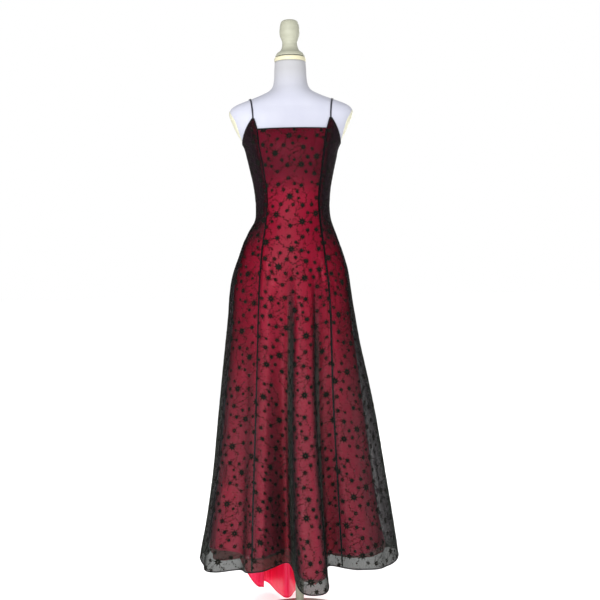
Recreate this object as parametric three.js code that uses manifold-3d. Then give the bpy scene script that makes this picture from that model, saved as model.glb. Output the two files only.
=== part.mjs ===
// A floor-length prom dress with thin straps, worn by a limbless dress form on a round base.
// Millimetres, +Z up. The origin is the middle of the base's underside and the dress faces -Y.
import * as THREE from "three";
import { mergeVertices } from "three/addons/utils/BufferGeometryUtils.js";
import Module from "manifold-3d";

const wasm = await Module();
wasm.setup();

// Cloth and clearances
const LINING_WALL = 1.2;
const OVERLAY_WALL = 1.0;
const LINING_CLEARANCE = 1.1; // form to lining in the fitted bodice
const LAYER_CLEARANCE = 0.5; // lining to overlay in the fitted bodice
const SEAM_GAP = 0.3; // between neighbouring panels
const SEAT_GAP = 0.3; // between a hard piece and what carries it
const LINING_OFFSET = LINING_CLEARANCE + LINING_WALL;
const OVERLAY_OFFSET = LINING_OFFSET + LAYER_CLEARANCE + OVERLAY_WALL;

// Heights above the floor
const NECKLINE = 1475;
const STRAP_POINT = 1507;
const UNDERARM = 1442;
const BACK_NECK = 1424;
const BODICE_END = 1216; // above this the cloth lies on the form
const OVERLAY_HEM = 208;
const LINING_HEM = 238;
const OVERLAY_TAIL = 112; // lowest point of each layer at the centre back
const LINING_TAIL = 6;
const LINING_TUCK = 1.5; // the lining stops this far under the overlay's top edge

// Stand
const POLE_RADIUS = 12.5;
const BASE_RADIUS = 180;
const BASE_HEIGHT = 18;
const SOCKET_HEIGHT = 46;
const COLLAR_HEIGHT = 22;
const UNDERSIDE = 930; // the torso's flat underside
const NECK_TOP = 1685;
const FORM_SIDES = 36;
const BASE_SEGMENTS = 56;
const TURNED_SEGMENTS = 24;

// Straps
const STRAP_WIDTH = 6;
const STRAP_WALL = 1.6;
const STRAP_CLEARANCE = 0.9; // form to strap
const STRAP_STEPS = 24;
const STRAP_CREST = { reached: 0.45, left: 0.5 }; // share of the strap's run where X is at its crest value
const STRAP_PLACE = { inner: 0.54, outer: 0.585 }; // the strap point, in u as the folds below
const STRAP_X = {
  left: { front: 110, crest: 125, back: 94 },
  right: { front: 115, crest: 127, back: 94 },
};
const SHOULDER_CORE = { y: 5, z: 1480 }; // the strap's run is measured as a turn about this point
const SHOULDER_REACH = 240; // further from the core than any point of the form
const BACK_STRAP_PLACE = 2.4; // in u
const ARMHOLE_CURVE = 2.2; // above 1, the armhole falls steeply from the strap and runs flat at the side

// Zip slider on the centre back seam, and its pull tab
const SLIDER = {
  width: 5.6,
  length: 9.5,
  wall: 1.2,
  archWidth: 1.2,
  archLength: 6.8,
  archHeight: 2.6,
  archWall: 0.8,
};
const TAB = { width: 4.2, bar: 0.9, eyeWidth: 2.4, eyeLength: 3.9, length: 24, endWidth: 5.6 };
const SLIDER_DROP = 9; // slider's middle below the back neckline
const CURVE_SEGMENTS = 8;

// Colours
const NET_BLACK = 0x17161a;
const SATIN_RED = 0xb5123a;
const JERSEY_WHITE = 0xe9e9f2;
const CREAM_WOOD = 0xdcd8bb;
const ZIP_BLACK = 0x1c1b1f;

// The dress form: half width, front and back depth, and squareness of each level section
const FORM_ROWS = [
  { z: NECK_TOP, width: 46, front: 45, back: 45, square: 2.0 },
  { z: 1660, width: 47.5, front: 46, back: 47, square: 2.0 },
  { z: 1632, width: 49, front: 48, back: 50, square: 2.0 },
  { z: 1612, width: 54, front: 52, back: 56, square: 2.0 },
  { z: 1598, width: 66, front: 58, back: 63, square: 2.05 },
  { z: 1587, width: 88, front: 63, back: 70, square: 2.1 },
  { z: 1577, width: 112, front: 68, back: 76, square: 2.2 },
  { z: 1566, width: 142, front: 73, back: 81, square: 2.3 },
  { z: 1555, width: 168, front: 77, back: 85, square: 2.4 },
  { z: 1543, width: 181, front: 81, back: 88, square: 2.5 },
  { z: 1528, width: 182, front: 87, back: 92, square: 2.55 },
  { z: 1507, width: 174, front: 95, back: 97, square: 2.5 },
  { z: 1482, width: 163, front: 106, back: 101, square: 2.45 },
  { z: 1454, width: 149, front: 120, back: 103, square: 2.35 },
  { z: 1426, width: 136, front: 129, back: 101, square: 2.25 },
  { z: 1396, width: 129, front: 127, back: 96, square: 2.2 },
  { z: 1356, width: 120, front: 112, back: 88, square: 2.1 },
  { z: 1316, width: 112, front: 98, back: 81, square: 2.05 },
  { z: 1282, width: 108, front: 91, back: 77, square: 2.0 },
  { z: 1250, width: 106.5, front: 88, back: 76, square: 2.0 },
  { z: 1216, width: 110, front: 91, back: 84, square: 2.0 },
  { z: 1184, width: 119, front: 97, back: 97, square: 2.0 },
  { z: 1148, width: 131, front: 103, back: 111, square: 2.05 },
  { z: 1106, width: 145, front: 109, back: 124, square: 2.1 },
  { z: 1060, width: 155, front: 112, back: 130, square: 2.1 },
  { z: 1006, width: 156, front: 108, back: 124, square: 2.1 },
  { z: 968, width: 147, front: 99, back: 111, square: 2.1 },
  { z: 942, width: 134, front: 88, back: 96, square: 2.1 },
  { z: UNDERSIDE, width: 122, front: 78, back: 84, square: 2.1 },
];

// The overlay skirt below the bodice, to its outer face. left is the viewer's left, at -X.
const OVERLAY_ROWS = [
  { z: 1184, left: 132, right: 124.5, front: 102, back: 103, square: 2.0 },
  { z: 1148, left: 150, right: 137, front: 110, back: 121, square: 2.05 },
  { z: 1106, left: 165, right: 151, front: 118, back: 137, square: 2.1 },
  { z: 1060, left: 182, right: 163, front: 126, back: 150, square: 2.1 },
  { z: 1006, left: 193, right: 170, front: 134, back: 162, square: 2.1 },
  { z: 930, left: 200, right: 181, front: 142, back: 176, square: 2.05 },
  { z: 840, left: 211, right: 196, front: 151, back: 192, square: 2.0 },
  { z: 730, left: 224, right: 219, front: 161, back: 209, square: 2.0 },
  { z: 600, left: 239, right: 243, front: 172, back: 227, square: 2.0 },
  { z: 460, left: 255, right: 264, front: 183, back: 245, square: 2.0 },
  { z: 320, left: 277, right: 285, front: 194, back: 260, square: 2.0 },
  { z: 208, left: 299, right: 300, front: 203, back: 268, square: 2.0 },
  { z: 12, left: 322, right: 322, front: 215, back: 276, square: 2.0 },
];

// How far the lining skirt lies inside the overlay, where the two hang apart
const INSET_ROWS = [
  { z: 1216, left: 0, right: 0, front: 0, back: 0 },
  { z: 1184, left: 4, right: 2.6, front: 2.2, back: 2.4 },
  { z: 1148, left: 7, right: 2.8, front: 3, back: 4 },
  { z: 1106, left: 9, right: 3.4, front: 4, back: 5 },
  { z: 1060, left: 11, right: 5, front: 6, back: 7 },
  { z: 1006, left: 13, right: 9, front: 9, back: 10 },
  { z: 840, left: 17, right: 18, front: 12, back: 14 },
  { z: 600, left: 18, right: 36, front: 14, back: 16 },
  { z: 320, left: 19, right: 42, front: 15, back: 18 },
  { z: 208, left: 26, right: 33, front: 16, back: 18 },
  { z: 12, left: 26, right: 33, front: 16, back: 18 },
];

// Distance of each princess seam from the middle, along X
const SEAM_ROWS = [
  { z: 1507, frontLeft: 102, frontRight: 108, back: 96 },
  { z: 1475, frontLeft: 99, frontRight: 104, back: 94 },
  { z: 1426, frontLeft: 95, frontRight: 98, back: 88 },
  { z: 1356, frontLeft: 83, frontRight: 89, back: 76 },
  { z: 1282, frontLeft: 75, frontRight: 80, back: 66 },
  { z: 1216, frontLeft: 79, frontRight: 82, back: 68 },
  { z: 1106, frontLeft: 94, frontRight: 93, back: 80 },
  { z: 976, frontLeft: 103, frontRight: 106, back: 92 },
  { z: 676, frontLeft: 113, frontRight: 115, back: 108 },
  { z: 376, frontLeft: 124, frontRight: 132, back: 122 },
  { z: 180, frontLeft: 129, frontRight: 144, back: 130 },
  { z: 0, frontLeft: 134, frontRight: 150, back: 136 },
];

// Skirt folds. u counts panels round the dress: 0 centre front, 0.5 the front princess seam, 1.5 the side
// seam, 2.5 the back princess seam and 3 the centre back, negative on the viewer's left. depth is how far
// the fold stands out at the hem, or in if negative, from is the height where it starts, and a higher
// crest gives a broader top with steeper sides.
const FOLD_ROWS = [
  { name: "centre flute", u: 0.078, half: 0.18, crest: 4, depth: 135, from: 1120 },
  { name: "left valley", u: -0.2, half: 0.2, crest: 2, depth: -100, from: 1160 },
  { name: "right valley", u: 0.4, half: 0.2, crest: 2, depth: -68, from: 1100 },
  { name: "left swell", u: -0.47, half: 0.2, crest: 2, depth: 14, from: 1000 },
  { name: "left side-front valley", u: -0.72, half: 0.18, crest: 2, depth: -24, from: 840 },
  { name: "left side-front swell", u: -1.0, half: 0.2, crest: 2, depth: 16, from: 900 },
  { name: "right side-front swell", u: 0.78, half: 0.22, crest: 2, depth: 12, from: 900 },
  { name: "left side-back valley", u: -1.78, half: 0.2, crest: 2, depth: -34, from: 930 },
  { name: "left side-back flute", u: -2.12, half: 0.24, crest: 2, depth: 40, from: 1000 },
  { name: "right side-back valley", u: 1.84, half: 0.2, crest: 2, depth: -30, from: 960 },
  { name: "right side-back flute", u: 2.16, half: 0.22, crest: 2, depth: 46, from: 1020 },
  { name: "left back valley", u: -2.46, half: 0.16, crest: 2, depth: -20, from: 1040 },
  { name: "right back valley", u: 2.5, half: 0.16, crest: 2, depth: -40, from: 1020 },
  { name: "left tail flute", u: -2.64, half: 0.14, crest: 2.4, depth: 70, from: 1060 },
  { name: "right tail flute", u: 2.66, half: 0.14, crest: 2.4, depth: 58, from: 1040 },
  { name: "left tail valley", u: -2.82, half: 0.13, crest: 2, depth: -36, from: 980 },
  { name: "right tail valley", u: 2.84, half: 0.12, crest: 2, depth: -26, from: 960 },
  { name: "centre back flute", u: 3, half: 0.12, crest: 2, depth: 44, from: 900 },
];
const FOLD_ONSET = 1.25; // above 1, a fold starts softly
const FOLD_LIMIT = 1.1; // how much deeper than at the hem a fold gets in the tail

// Small changes of hem height round the dress
const HEM_ROWS = [
  { u: 0.08, half: 0.26, rise: -16 },
  { u: -0.35, half: 0.28, rise: 9 },
  { u: -1.0, half: 0.4, rise: -12 },
  { u: 1.05, half: 0.5, rise: -9 },
  { u: -2.46, half: 0.2, rise: 40 },
  { u: -2.64, half: 0.1, rise: 22 },
  { u: 2.86, half: 0.2, rise: 45 },
];
// Where the hem begins to drop towards the centre back and where it is down, in u without its sign
const TAIL_DROP = {
  left: { starts: 2.13, ends: 2.46 },
  right: { starts: 2.58, ends: 2.8 },
};

// Columns of each panel, from one seam to the next, closer together at folds and at the strap point
const PANELS = [
  {
    name: "centre_front",
    columns: [-0.5, -0.4, -0.3, -0.2, -0.12, -0.08, -0.045, 0.01, 0.08, 0.15, 0.2, 0.24, 0.3, 0.4, 0.5],
  },
  { name: "side_front_right", columns: [0.5, 0.54, 0.585, 0.68, 0.8, 0.95, 1.12, 1.31, 1.5] },
  { name: "side_back_right", columns: [1.5, 1.67, 1.84, 2.0, 2.16, 2.33, 2.5] },
  { name: "centre_back_right", columns: [2.5, 2.55, 2.61, 2.66, 2.71, 2.77, 2.84, 2.91, 3] },
  { name: "centre_back_left", columns: [-3, -2.9, -2.82, -2.75, -2.69, -2.64, -2.59, -2.54, -2.5] },
  { name: "side_back_left", columns: [-2.5, -2.33, -2.14, -1.98, -1.8, -1.65, -1.5] },
  { name: "side_front_left", columns: [-1.5, -1.3, -1.1, -0.93, -0.78, -0.67, -0.585, -0.54, -0.5] },
];

// Levels that every cloth row and the form share, between the shaped top edge and the shaped hem
const LEVELS = [1396, 1352, 1312, 1278, 1247, 1216, 1184, 1148, 1104, 1052, 990, 900, 780, 630, 470, 320];
const TOP_STEPS = 5;
const HEM_STEPS = 2;

const root = new THREE.Group();

function material(color, roughness, metalness = 0) {
  return new THREE.MeshStandardMaterial({ color, roughness, metalness });
}

const netCloth = material(NET_BLACK, 0.85);
netCloth.transparent = true;
netCloth.opacity = 0.5;
const satin = material(SATIN_RED, 0.4);
const jersey = material(JERSEY_WHITE, 0.8);
const paintedWood = material(CREAM_WOOD, 0.55);
const blackMetal = material(ZIP_BLACK, 0.35, 0.6);
const strapCloth = material(NET_BLACK, 0.7);

function addMesh(name, geometry, surface, parent = root) {
  const mesh = new THREE.Mesh(geometry, surface);
  mesh.name = name;
  parent.add(mesh);
  return mesh;
}

// Smooth interpolation of every numeric column of a table whose rows run from high z to low z
function rowAt(rows, z) {
  const last = rows.length - 1;
  if (z >= rows[0].z) return { ...rows[0], z };
  if (z <= rows[last].z) return { ...rows[last], z };
  let i = 0;
  while (rows[i + 1].z > z) i += 1;
  const span = rows[i + 1].z - rows[i].z;
  const t = (z - rows[i].z) / span;
  const ease = t * t * (3 - 2 * t);
  const found = { z };
  for (const key of Object.keys(rows[i])) {
    if (key === "z" || key === "name") continue;
    const slope = (k) => {
      const a = rows[Math.max(k - 1, 0)];
      const b = rows[Math.min(k + 1, last)];
      return ((b[key] - a[key]) / (b.z - a.z)) * span;
    };
    const blended = rows[i][key] * (1 - ease) + rows[i + 1][key] * ease;
    found[key] = blended + slope(i) * t * (1 - t) ** 2 - slope(i + 1) * t * t * (1 - t);
  }
  return found;
}

function smoothStep(low, high, value) {
  const t = Math.min(Math.max((value - low) / (high - low), 0), 1);
  return t * t * (3 - 2 * t);
}

function swell(distance, crest = 2) {
  return distance < 1 ? (1 - distance ** crest) ** 2 : 0;
}

// Distance round the dress between two u values; -3 and 3 are the same place
function roundDistance(a, b) {
  const d = Math.abs(a - b);
  return Math.min(d, 6 - d);
}

// A layer's rows: the form grown by its offset above the skirt, then the skirt's own rows
function layerRows(offset, skirtRows) {
  const bodice = FORM_ROWS.filter((row) => row.z >= BODICE_END).map((row) => ({
    z: row.z,
    left: row.width + offset,
    right: row.width + offset,
    front: row.front + offset,
    back: row.back + offset,
    square: row.square,
  }));
  return [...bodice, ...skirtRows];
}

const LINING = {
  rows: layerRows(LINING_OFFSET, OVERLAY_ROWS),
  inset: INSET_ROWS,
  wall: LINING_WALL,
  tuck: LINING_TUCK,
  hem: LINING_HEM,
  tail: LINING_TAIL,
};
const OVERLAY = {
  rows: layerRows(OVERLAY_OFFSET, OVERLAY_ROWS),
  inset: null,
  wall: OVERLAY_WALL,
  tuck: 0,
  hem: OVERLAY_HEM,
  tail: OVERLAY_TAIL,
};
const formRows = FORM_ROWS.map((row) => ({ ...row, left: row.width, right: row.width }));

// The angle of u at height z: 0 at the front, positive towards +X
function angleAt(u, z) {
  const level = Math.min(z, STRAP_POINT);
  const seams = rowAt(SEAM_ROWS, level);
  const body = rowAt(OVERLAY.rows, level);
  const seamAngle = (x, width) => Math.asin((x / width) ** (body.square / 2));
  const left = seamAngle(seams.frontLeft, body.left);
  const right = seamAngle(seams.frontRight, body.right);
  if (Math.abs(u) <= 0.5) return -left + (right + left) * (u + 0.5);
  const side = Math.sign(u);
  const backSeam = Math.PI - seamAngle(seams.back, side < 0 ? body.left : body.right);
  const knots = [
    { u: 0.5, angle: side < 0 ? left : right },
    { u: 1.5, angle: Math.PI / 2 },
    { u: 2.5, angle: backSeam },
    { u: 3, angle: Math.PI },
  ];
  let k = 1;
  while (k < 3 && knots[k].u < Math.abs(u)) k += 1;
  const t = (Math.abs(u) - knots[k - 1].u) / (knots[k].u - knots[k - 1].u);
  return side * (knots[k - 1].angle + (knots[k].angle - knots[k - 1].angle) * t);
}

// How far the folds stand out at one place of the skirt
function foldAt(u, z) {
  let stands = 0;
  for (const fold of FOLD_ROWS) {
    const grown = (fold.from - z) / (fold.from - OVERLAY_HEM);
    if (grown > 0) {
      const reach = Math.min(grown, FOLD_LIMIT) ** FOLD_ONSET;
      stands += fold.depth * reach * swell(roundDistance(u, fold.u) / fold.half, fold.crest);
    }
  }
  return stands;
}

function sectionPoint(body, angle, z) {
  const s = Math.sin(angle);
  const c = Math.cos(angle);
  const power = 2 / body.square;
  const x = (s < 0 ? -body.left : body.right) * Math.abs(s) ** power;
  const y = (c > 0 ? -body.front : body.back) * Math.abs(c) ** power;
  return new THREE.Vector3(x, y, z);
}

function insetAt(layer, angle, z) {
  if (layer.inset === null) return 0;
  const inset = rowAt(layer.inset, z);
  const side = angle < 0 ? inset.left : inset.right;
  const face = Math.cos(angle) > 0 ? inset.front : inset.back;
  return side * Math.sin(angle) ** 2 + face * Math.cos(angle) ** 2;
}

// A point of a layer's outer face
function pointOn(layer, u, z) {
  const angle = angleAt(u, z);
  const stands = foldAt(u, z) - insetAt(layer, angle, z);
  const outwards = new THREE.Vector3(Math.sin(angle), -Math.cos(angle), 0);
  return sectionPoint(rowAt(layer.rows, z), angle, z).addScaledVector(outwards, stands);
}

// Outward normal of a layer's face, from neighbouring points du and dz away
function normalOn(layer, u, z, du = 0.004, dz = 1) {
  const across = pointOn(layer, u + du, z).sub(pointOn(layer, u - du, z));
  const down = pointOn(layer, u, z - dz).sub(pointOn(layer, u, z + dz));
  return down.cross(across).normalize();
}

// Height of the cloth's top edge round the dress
function topEdge(u) {
  const place = Math.abs(u);
  const { inner, outer } = STRAP_PLACE;
  if (place <= 0.5) return NECKLINE;
  if (place <= inner) return NECKLINE + ((STRAP_POINT - NECKLINE) * (place - 0.5)) / (inner - 0.5);
  if (place <= outer) return STRAP_POINT;
  if (place <= 1.5) {
    const t = (place - outer) / (1.5 - outer);
    return UNDERARM + (STRAP_POINT - UNDERARM) * (1 - t) ** ARMHOLE_CURVE;
  }
  return UNDERARM + (BACK_NECK - UNDERARM) * smoothStep(1.5, 3, place);
}

// Height of a layer's hem round the dress, lower at the centre back
function hemEdge(u, hem, tail) {
  let rise = 0;
  for (const row of HEM_ROWS) rise += row.rise * swell(roundDistance(u, row.u) / row.half);
  const { starts, ends } = u < 0 ? TAIL_DROP.left : TAIL_DROP.right;
  return hem + rise + (tail - hem) * smoothStep(starts, ends, Math.abs(u));
}

function clothHeights(top, hem) {
  const first = LEVELS[0];
  const last = LEVELS[LEVELS.length - 1];
  const heights = [];
  for (let i = 0; i < TOP_STEPS; i += 1) heights.push(top + ((first - top) * i) / TOP_STEPS);
  heights.push(...LEVELS);
  for (let i = 1; i <= HEM_STEPS; i += 1) heights.push(last + ((hem - last) * i) / HEM_STEPS);
  return heights;
}

function meshGeometry(points, faces) {
  const geometry = new THREE.BufferGeometry();
  geometry.setAttribute("position", new THREE.Float32BufferAttribute(points, 3));
  geometry.setIndex(faces);
  geometry.computeVertexNormals();
  return geometry;
}

// A closed wall between two grids of points, each a list of rows from top to bottom
function wallGeometry(outer, inner) {
  const rows = outer.length;
  const columns = outer[0].length;
  const points = [...outer.flat(), ...inner.flat()].flatMap((p) => p.toArray());
  const o = (r, c) => r * columns + c;
  const i = (r, c) => rows * columns + o(r, c);
  const faces = [];
  const quad = (a, b, c, d) => faces.push(a, b, c, a, c, d);
  for (let r = 0; r < rows - 1; r += 1) {
    for (let c = 0; c < columns - 1; c += 1) {
      quad(o(r, c), o(r + 1, c), o(r + 1, c + 1), o(r, c + 1));
      quad(i(r, c), i(r, c + 1), i(r + 1, c + 1), i(r + 1, c));
    }
    quad(o(r, 0), i(r, 0), i(r + 1, 0), o(r + 1, 0));
    quad(o(r, columns - 1), o(r + 1, columns - 1), i(r + 1, columns - 1), i(r, columns - 1));
  }
  for (let c = 0; c < columns - 1; c += 1) {
    quad(o(0, c), o(0, c + 1), i(0, c + 1), i(0, c));
    quad(o(rows - 1, c), i(rows - 1, c), i(rows - 1, c + 1), o(rows - 1, c + 1));
  }
  return meshGeometry(points, faces);
}

// u half a seam gap inside a panel's edge; inward is 1 or -1
function insideSeam(layer, u, z, inward) {
  const nudge = 0.001;
  const speed = pointOn(layer, u + nudge * inward, z).distanceTo(pointOn(layer, u, z)) / nudge;
  return u + (inward * SEAM_GAP) / 2 / speed;
}

// One panel of a layer. Its side edges stand half a seam gap back from the seam.
function panelGeometry(layer, columns) {
  const lastColumn = columns.length - 1;
  const outer = [];
  const inner = [];
  columns.forEach((u, c) => {
    const heights = clothHeights(topEdge(u) - layer.tuck, hemEdge(u, layer.hem, layer.tail));
    heights.forEach((z, r) => {
      let place = u;
      if (c === 0) place = insideSeam(layer, u, z, 1);
      if (c === lastColumn) place = insideSeam(layer, u, z, -1);
      const point = pointOn(layer, place, z);
      const normal = normalOn(layer, place, z);
      outer[r] = [...(outer[r] ?? []), point];
      inner[r] = [...(inner[r] ?? []), point.clone().addScaledVector(normal, -layer.wall)];
    });
  });
  return wallGeometry(outer, inner);
}

// A closed body through rings of points that run anticlockwise seen from the last ring
function ringBody(rings) {
  const count = rings[0].length;
  const points = rings.flat().flatMap((p) => p.toArray());
  const middle = (ring) => ring.reduce((sum, p) => sum.add(p), new THREE.Vector3()).divideScalar(count);
  const low = rings.length * count;
  const top = low - count;
  points.push(...middle(rings[0]).toArray(), ...middle(rings[rings.length - 1]).toArray());
  const faces = [];
  for (let c = 0; c < count; c += 1) {
    const next = (c + 1) % count;
    for (let a = 0; a < top; a += count) {
      const b = a + count;
      faces.push(a + c, a + next, b + next, a + c, b + next, b + c);
    }
    faces.push(low, next, c, low + 1, top + c, top + next);
  }
  return meshGeometry(points, faces);
}

// The torso has the cloth's levels where the dress is fitted, so that their faces lie parallel
function torsoGeometry() {
  const fitted = LEVELS.filter((z) => z > UNDERSIDE);
  const lowest = fitted[fitted.length - 1];
  const shaped = FORM_ROWS.map((row) => row.z).filter((z) => z > LEVELS[0] || z < lowest);
  const heights = [...shaped, ...fitted].sort((a, b) => a - b);
  const ring = (z) => {
    const body = rowAt(formRows, z);
    const points = [];
    for (let i = 0; i < FORM_SIDES; i += 1) {
      points.push(sectionPoint(body, (i / FORM_SIDES) * 2 * Math.PI, z));
    }
    return points;
  };
  return ringBody(heights.map(ring));
}

// Turned pieces: rows of radius and height from the bottom up
function turned(rows, segments) {
  const profile = rows.map(([radius, z]) => new THREE.Vector2(radius, z));
  return new THREE.LatheGeometry(profile, segments).rotateX(Math.PI / 2);
}

function turnedSolid(rows, segments) {
  const low = rows[0][1];
  const high = rows[rows.length - 1][1];
  return turned([[0, low], ...rows, [0, high]], segments);
}

function turnedRing(bore, rows, segments) {
  const low = rows[0][1];
  const high = rows[rows.length - 1][1];
  return turned([[bore, low], ...rows, [bore, high], [bore, low]], segments);
}

// The place of one X and height on the form's front or back, as a turn about the shoulders' middle
function shoulderTurn(x, z, behind) {
  const body = rowAt(formRows, z);
  const share = (1 - (x / body.width) ** body.square) ** (1 / body.square);
  const depth = (behind ? body.back : -body.front) * share;
  const turn = Math.atan2(z - SHOULDER_CORE.z, SHOULDER_CORE.y - depth);
  return behind && turn < 0 ? turn + 2 * Math.PI : turn;
}

// The form's point at one X, seen in one direction from the shoulders' middle
function shoulderPoint(x, turn) {
  const at = (reach) => ({
    y: SHOULDER_CORE.y - reach * Math.cos(turn),
    z: SHOULDER_CORE.z + reach * Math.sin(turn),
  });
  let near = 0;
  let far = SHOULDER_REACH;
  const tolerance = 1e-9;
  while (far - near > tolerance) {
    const reach = (near + far) / 2;
    const { y, z } = at(reach);
    const body = rowAt(formRows, z);
    const deep = y < 0 ? body.front : body.back;
    const inside = (Math.abs(x) / body.width) ** body.square + (Math.abs(y) / deep) ** body.square < 1;
    if (inside) near = reach;
    else far = reach;
  }
  const { y, z } = at(near);
  return new THREE.Vector3(x, y, z);
}

// A flat strap from the front strap point, over the shoulder, down to the back neckline
function strapGeometry(side) {
  const { front, crest, back } = side < 0 ? STRAP_X.left : STRAP_X.right;
  const backTop = topEdge(BACK_STRAP_PLACE) + 3 * SEAT_GAP;
  const start = shoulderTurn(front, STRAP_POINT + SEAT_GAP, false);
  const end = shoulderTurn(back, backTop, true);
  const dTurn = 0.02;
  const dx = 2;
  const rings = [];
  for (let i = 0; i <= STRAP_STEPS; i += 1) {
    const t = i / STRAP_STEPS;
    const turn = start + (end - start) * t;
    const rising = (crest - front) * smoothStep(0, STRAP_CREST.reached, t);
    const falling = (back - crest) * smoothStep(STRAP_CREST.left, 1, t);
    const x = side * (front + rising + falling);
    const point = shoulderPoint(x, turn);
    const along = shoulderPoint(x, turn + dTurn).sub(shoulderPoint(x, turn - dTurn)).normalize();
    const over = shoulderPoint(x + dx, turn).sub(shoulderPoint(x - dx, turn)).normalize();
    const out = over.clone().cross(along).normalize();
    const corner = (w, h) => {
      const shifted = point.clone().addScaledVector(over, (w * STRAP_WIDTH) / 2);
      return shifted.addScaledVector(out, STRAP_CLEARANCE + h * STRAP_WALL);
    };
    rings.push([corner(-1, 0), corner(-1, 1), corner(1, 1), corner(1, 0)]);
  }
  return ringBody(rings);
}

function toSolid(geometry) {
  const bare = geometry.clone();
  bare.deleteAttribute("normal");
  bare.deleteAttribute("uv");
  const merged = mergeVertices(bare, 1e-4);
  const triVerts = new Uint32Array(merged.index.array);
  const mesh = new wasm.Mesh({ numProp: 3, vertProperties: merged.attributes.position.array, triVerts });
  return new wasm.Manifold(mesh);
}

function joined(first, second) {
  const mesh = toSolid(first).add(toSolid(second)).getMesh();
  return meshGeometry(Array.from(mesh.vertProperties), Array.from(mesh.triVerts));
}

// A flat outline raised along +Z
function raised(outline, depth) {
  return new THREE.ExtrudeGeometry(outline, { depth, bevelEnabled: false, curveSegments: CURVE_SEGMENTS });
}

// Zip pieces lie on the cloth in a frame of their own: Y runs up the back and Z stands out from it.
// The slider is an oval plate with an arch over the pull tab's end bar.
function sliderGeometry() {
  const { width, length, wall, archWidth, archLength, archHeight, archWall } = SLIDER;
  const plate = new THREE.Shape().absellipse(0, 0, width / 2, length / 2, 0, 2 * Math.PI);
  const half = archLength / 2;
  const sunk = wall / 2;
  const arch = new THREE.Shape([
    new THREE.Vector2(-half, -sunk),
    new THREE.Vector2(-half + archWall, -sunk),
    new THREE.Vector2(-half + archWall, archHeight - archWall),
    new THREE.Vector2(half - archWall, archHeight - archWall),
    new THREE.Vector2(half - archWall, -sunk),
    new THREE.Vector2(half, -sunk),
    new THREE.Vector2(half, archHeight - archWall / 2),
    new THREE.Vector2(half - archWall / 2, archHeight),
    new THREE.Vector2(-half + archWall / 2, archHeight),
    new THREE.Vector2(-half, archHeight - archWall / 2),
  ]);
  const bridge = raised(arch, archWidth).translate(0, 0, -archWidth / 2);
  const upright = new THREE.Matrix4().set(0, 0, 1, 0, 1, 0, 0, 0, 0, 1, 0, wall, 0, 0, 0, 1);
  return joined(raised(plate, wall), bridge.applyMatrix4(upright));
}

// The pull tab hangs from its end bar, whose axis is X at the origin
function tabGeometry() {
  const { width, bar, eyeWidth, eyeLength, length, endWidth } = TAB;
  const top = bar / 2;
  const outline = new THREE.Shape();
  outline.moveTo(-width / 2, top);
  outline.lineTo(-width / 2, -eyeLength - bar);
  outline.lineTo(-width / 4, -eyeLength - 3 * bar);
  outline.lineTo(-endWidth / 2, -length + endWidth);
  outline.absarc(0, -length + endWidth, endWidth / 2, Math.PI, 2 * Math.PI, false);
  outline.lineTo(width / 4, -eyeLength - 3 * bar);
  outline.lineTo(width / 2, -eyeLength - bar);
  outline.lineTo(width / 2, top);
  const eye = new THREE.Path();
  eye.moveTo(-eyeWidth / 2, -top);
  eye.lineTo(eyeWidth / 2, -top);
  eye.lineTo(eyeWidth / 2, -top - eyeLength);
  eye.lineTo(-eyeWidth / 2, -top - eyeLength);
  outline.holes.push(eye);
  return raised(outline, bar).translate(0, 0, -bar / 2);
}

function addStand() {
  const socketTop = BASE_HEIGHT + SEAT_GAP + SOCKET_HEIGHT;
  const collarLow = UNDERSIDE - SEAT_GAP - COLLAR_HEIGHT;
  const bore = POLE_RADIUS + SEAT_GAP;
  const baseRows = [
    [BASE_RADIUS - 4, 0],
    [BASE_RADIUS, 3],
    [BASE_RADIUS, BASE_HEIGHT - 8],
    [BASE_RADIUS - 3, BASE_HEIGHT - 3],
    [BASE_RADIUS - 9, BASE_HEIGHT],
  ];
  const socketRows = [
    [34, BASE_HEIGHT + SEAT_GAP],
    [34, BASE_HEIGHT + 8],
    [24, BASE_HEIGHT + 20],
    [20, socketTop - 4],
    [17, socketTop],
  ];
  const collarRows = [
    [20, collarLow],
    [30, collarLow + 6],
    [36, UNDERSIDE - SEAT_GAP],
  ];
  const poleRows = [
    [POLE_RADIUS, BASE_HEIGHT + SEAT_GAP],
    [POLE_RADIUS, UNDERSIDE - SEAT_GAP],
  ];
  addMesh("base_plate", turnedSolid(baseRows, BASE_SEGMENTS), paintedWood);
  addMesh("base_socket", turnedRing(bore, socketRows, TURNED_SEGMENTS), paintedWood);
  addMesh("pole", turnedSolid(poleRows, TURNED_SEGMENTS), paintedWood);
  addMesh("torso_collar", turnedRing(bore, collarRows, TURNED_SEGMENTS), paintedWood);
}

function addForm() {
  addMesh("form_torso", torsoGeometry(), jersey);
  const seat = NECK_TOP + SEAT_GAP;
  const capRows = [
    [45, seat],
    [47, seat + 2],
    [47, seat + 9],
    [45.5, seat + 12],
    [43, seat + 17],
    [39, seat + 25],
    [31, seat + 31],
    [26, seat + 38],
    [23, seat + 48],
    [22.5, seat + 58],
    [24.5, seat + 66],
    [28, seat + 75],
    [30, seat + 86],
    [29.5, seat + 98],
    [27.5, seat + 111],
    [24.5, seat + 119],
    [19, seat + 123],
  ];
  addMesh("neck_cap", turnedSolid(capRows, TURNED_SEGMENTS), paintedWood);
}

function addDress() {
  for (const { name, columns } of PANELS) {
    addMesh("lining_" + name, panelGeometry(LINING, columns), satin);
    addMesh("overlay_" + name, panelGeometry(OVERLAY, columns), netCloth);
  }
  addMesh("strap_left", strapGeometry(-1), strapCloth);
  addMesh("strap_right", strapGeometry(1), strapCloth);
}

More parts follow.
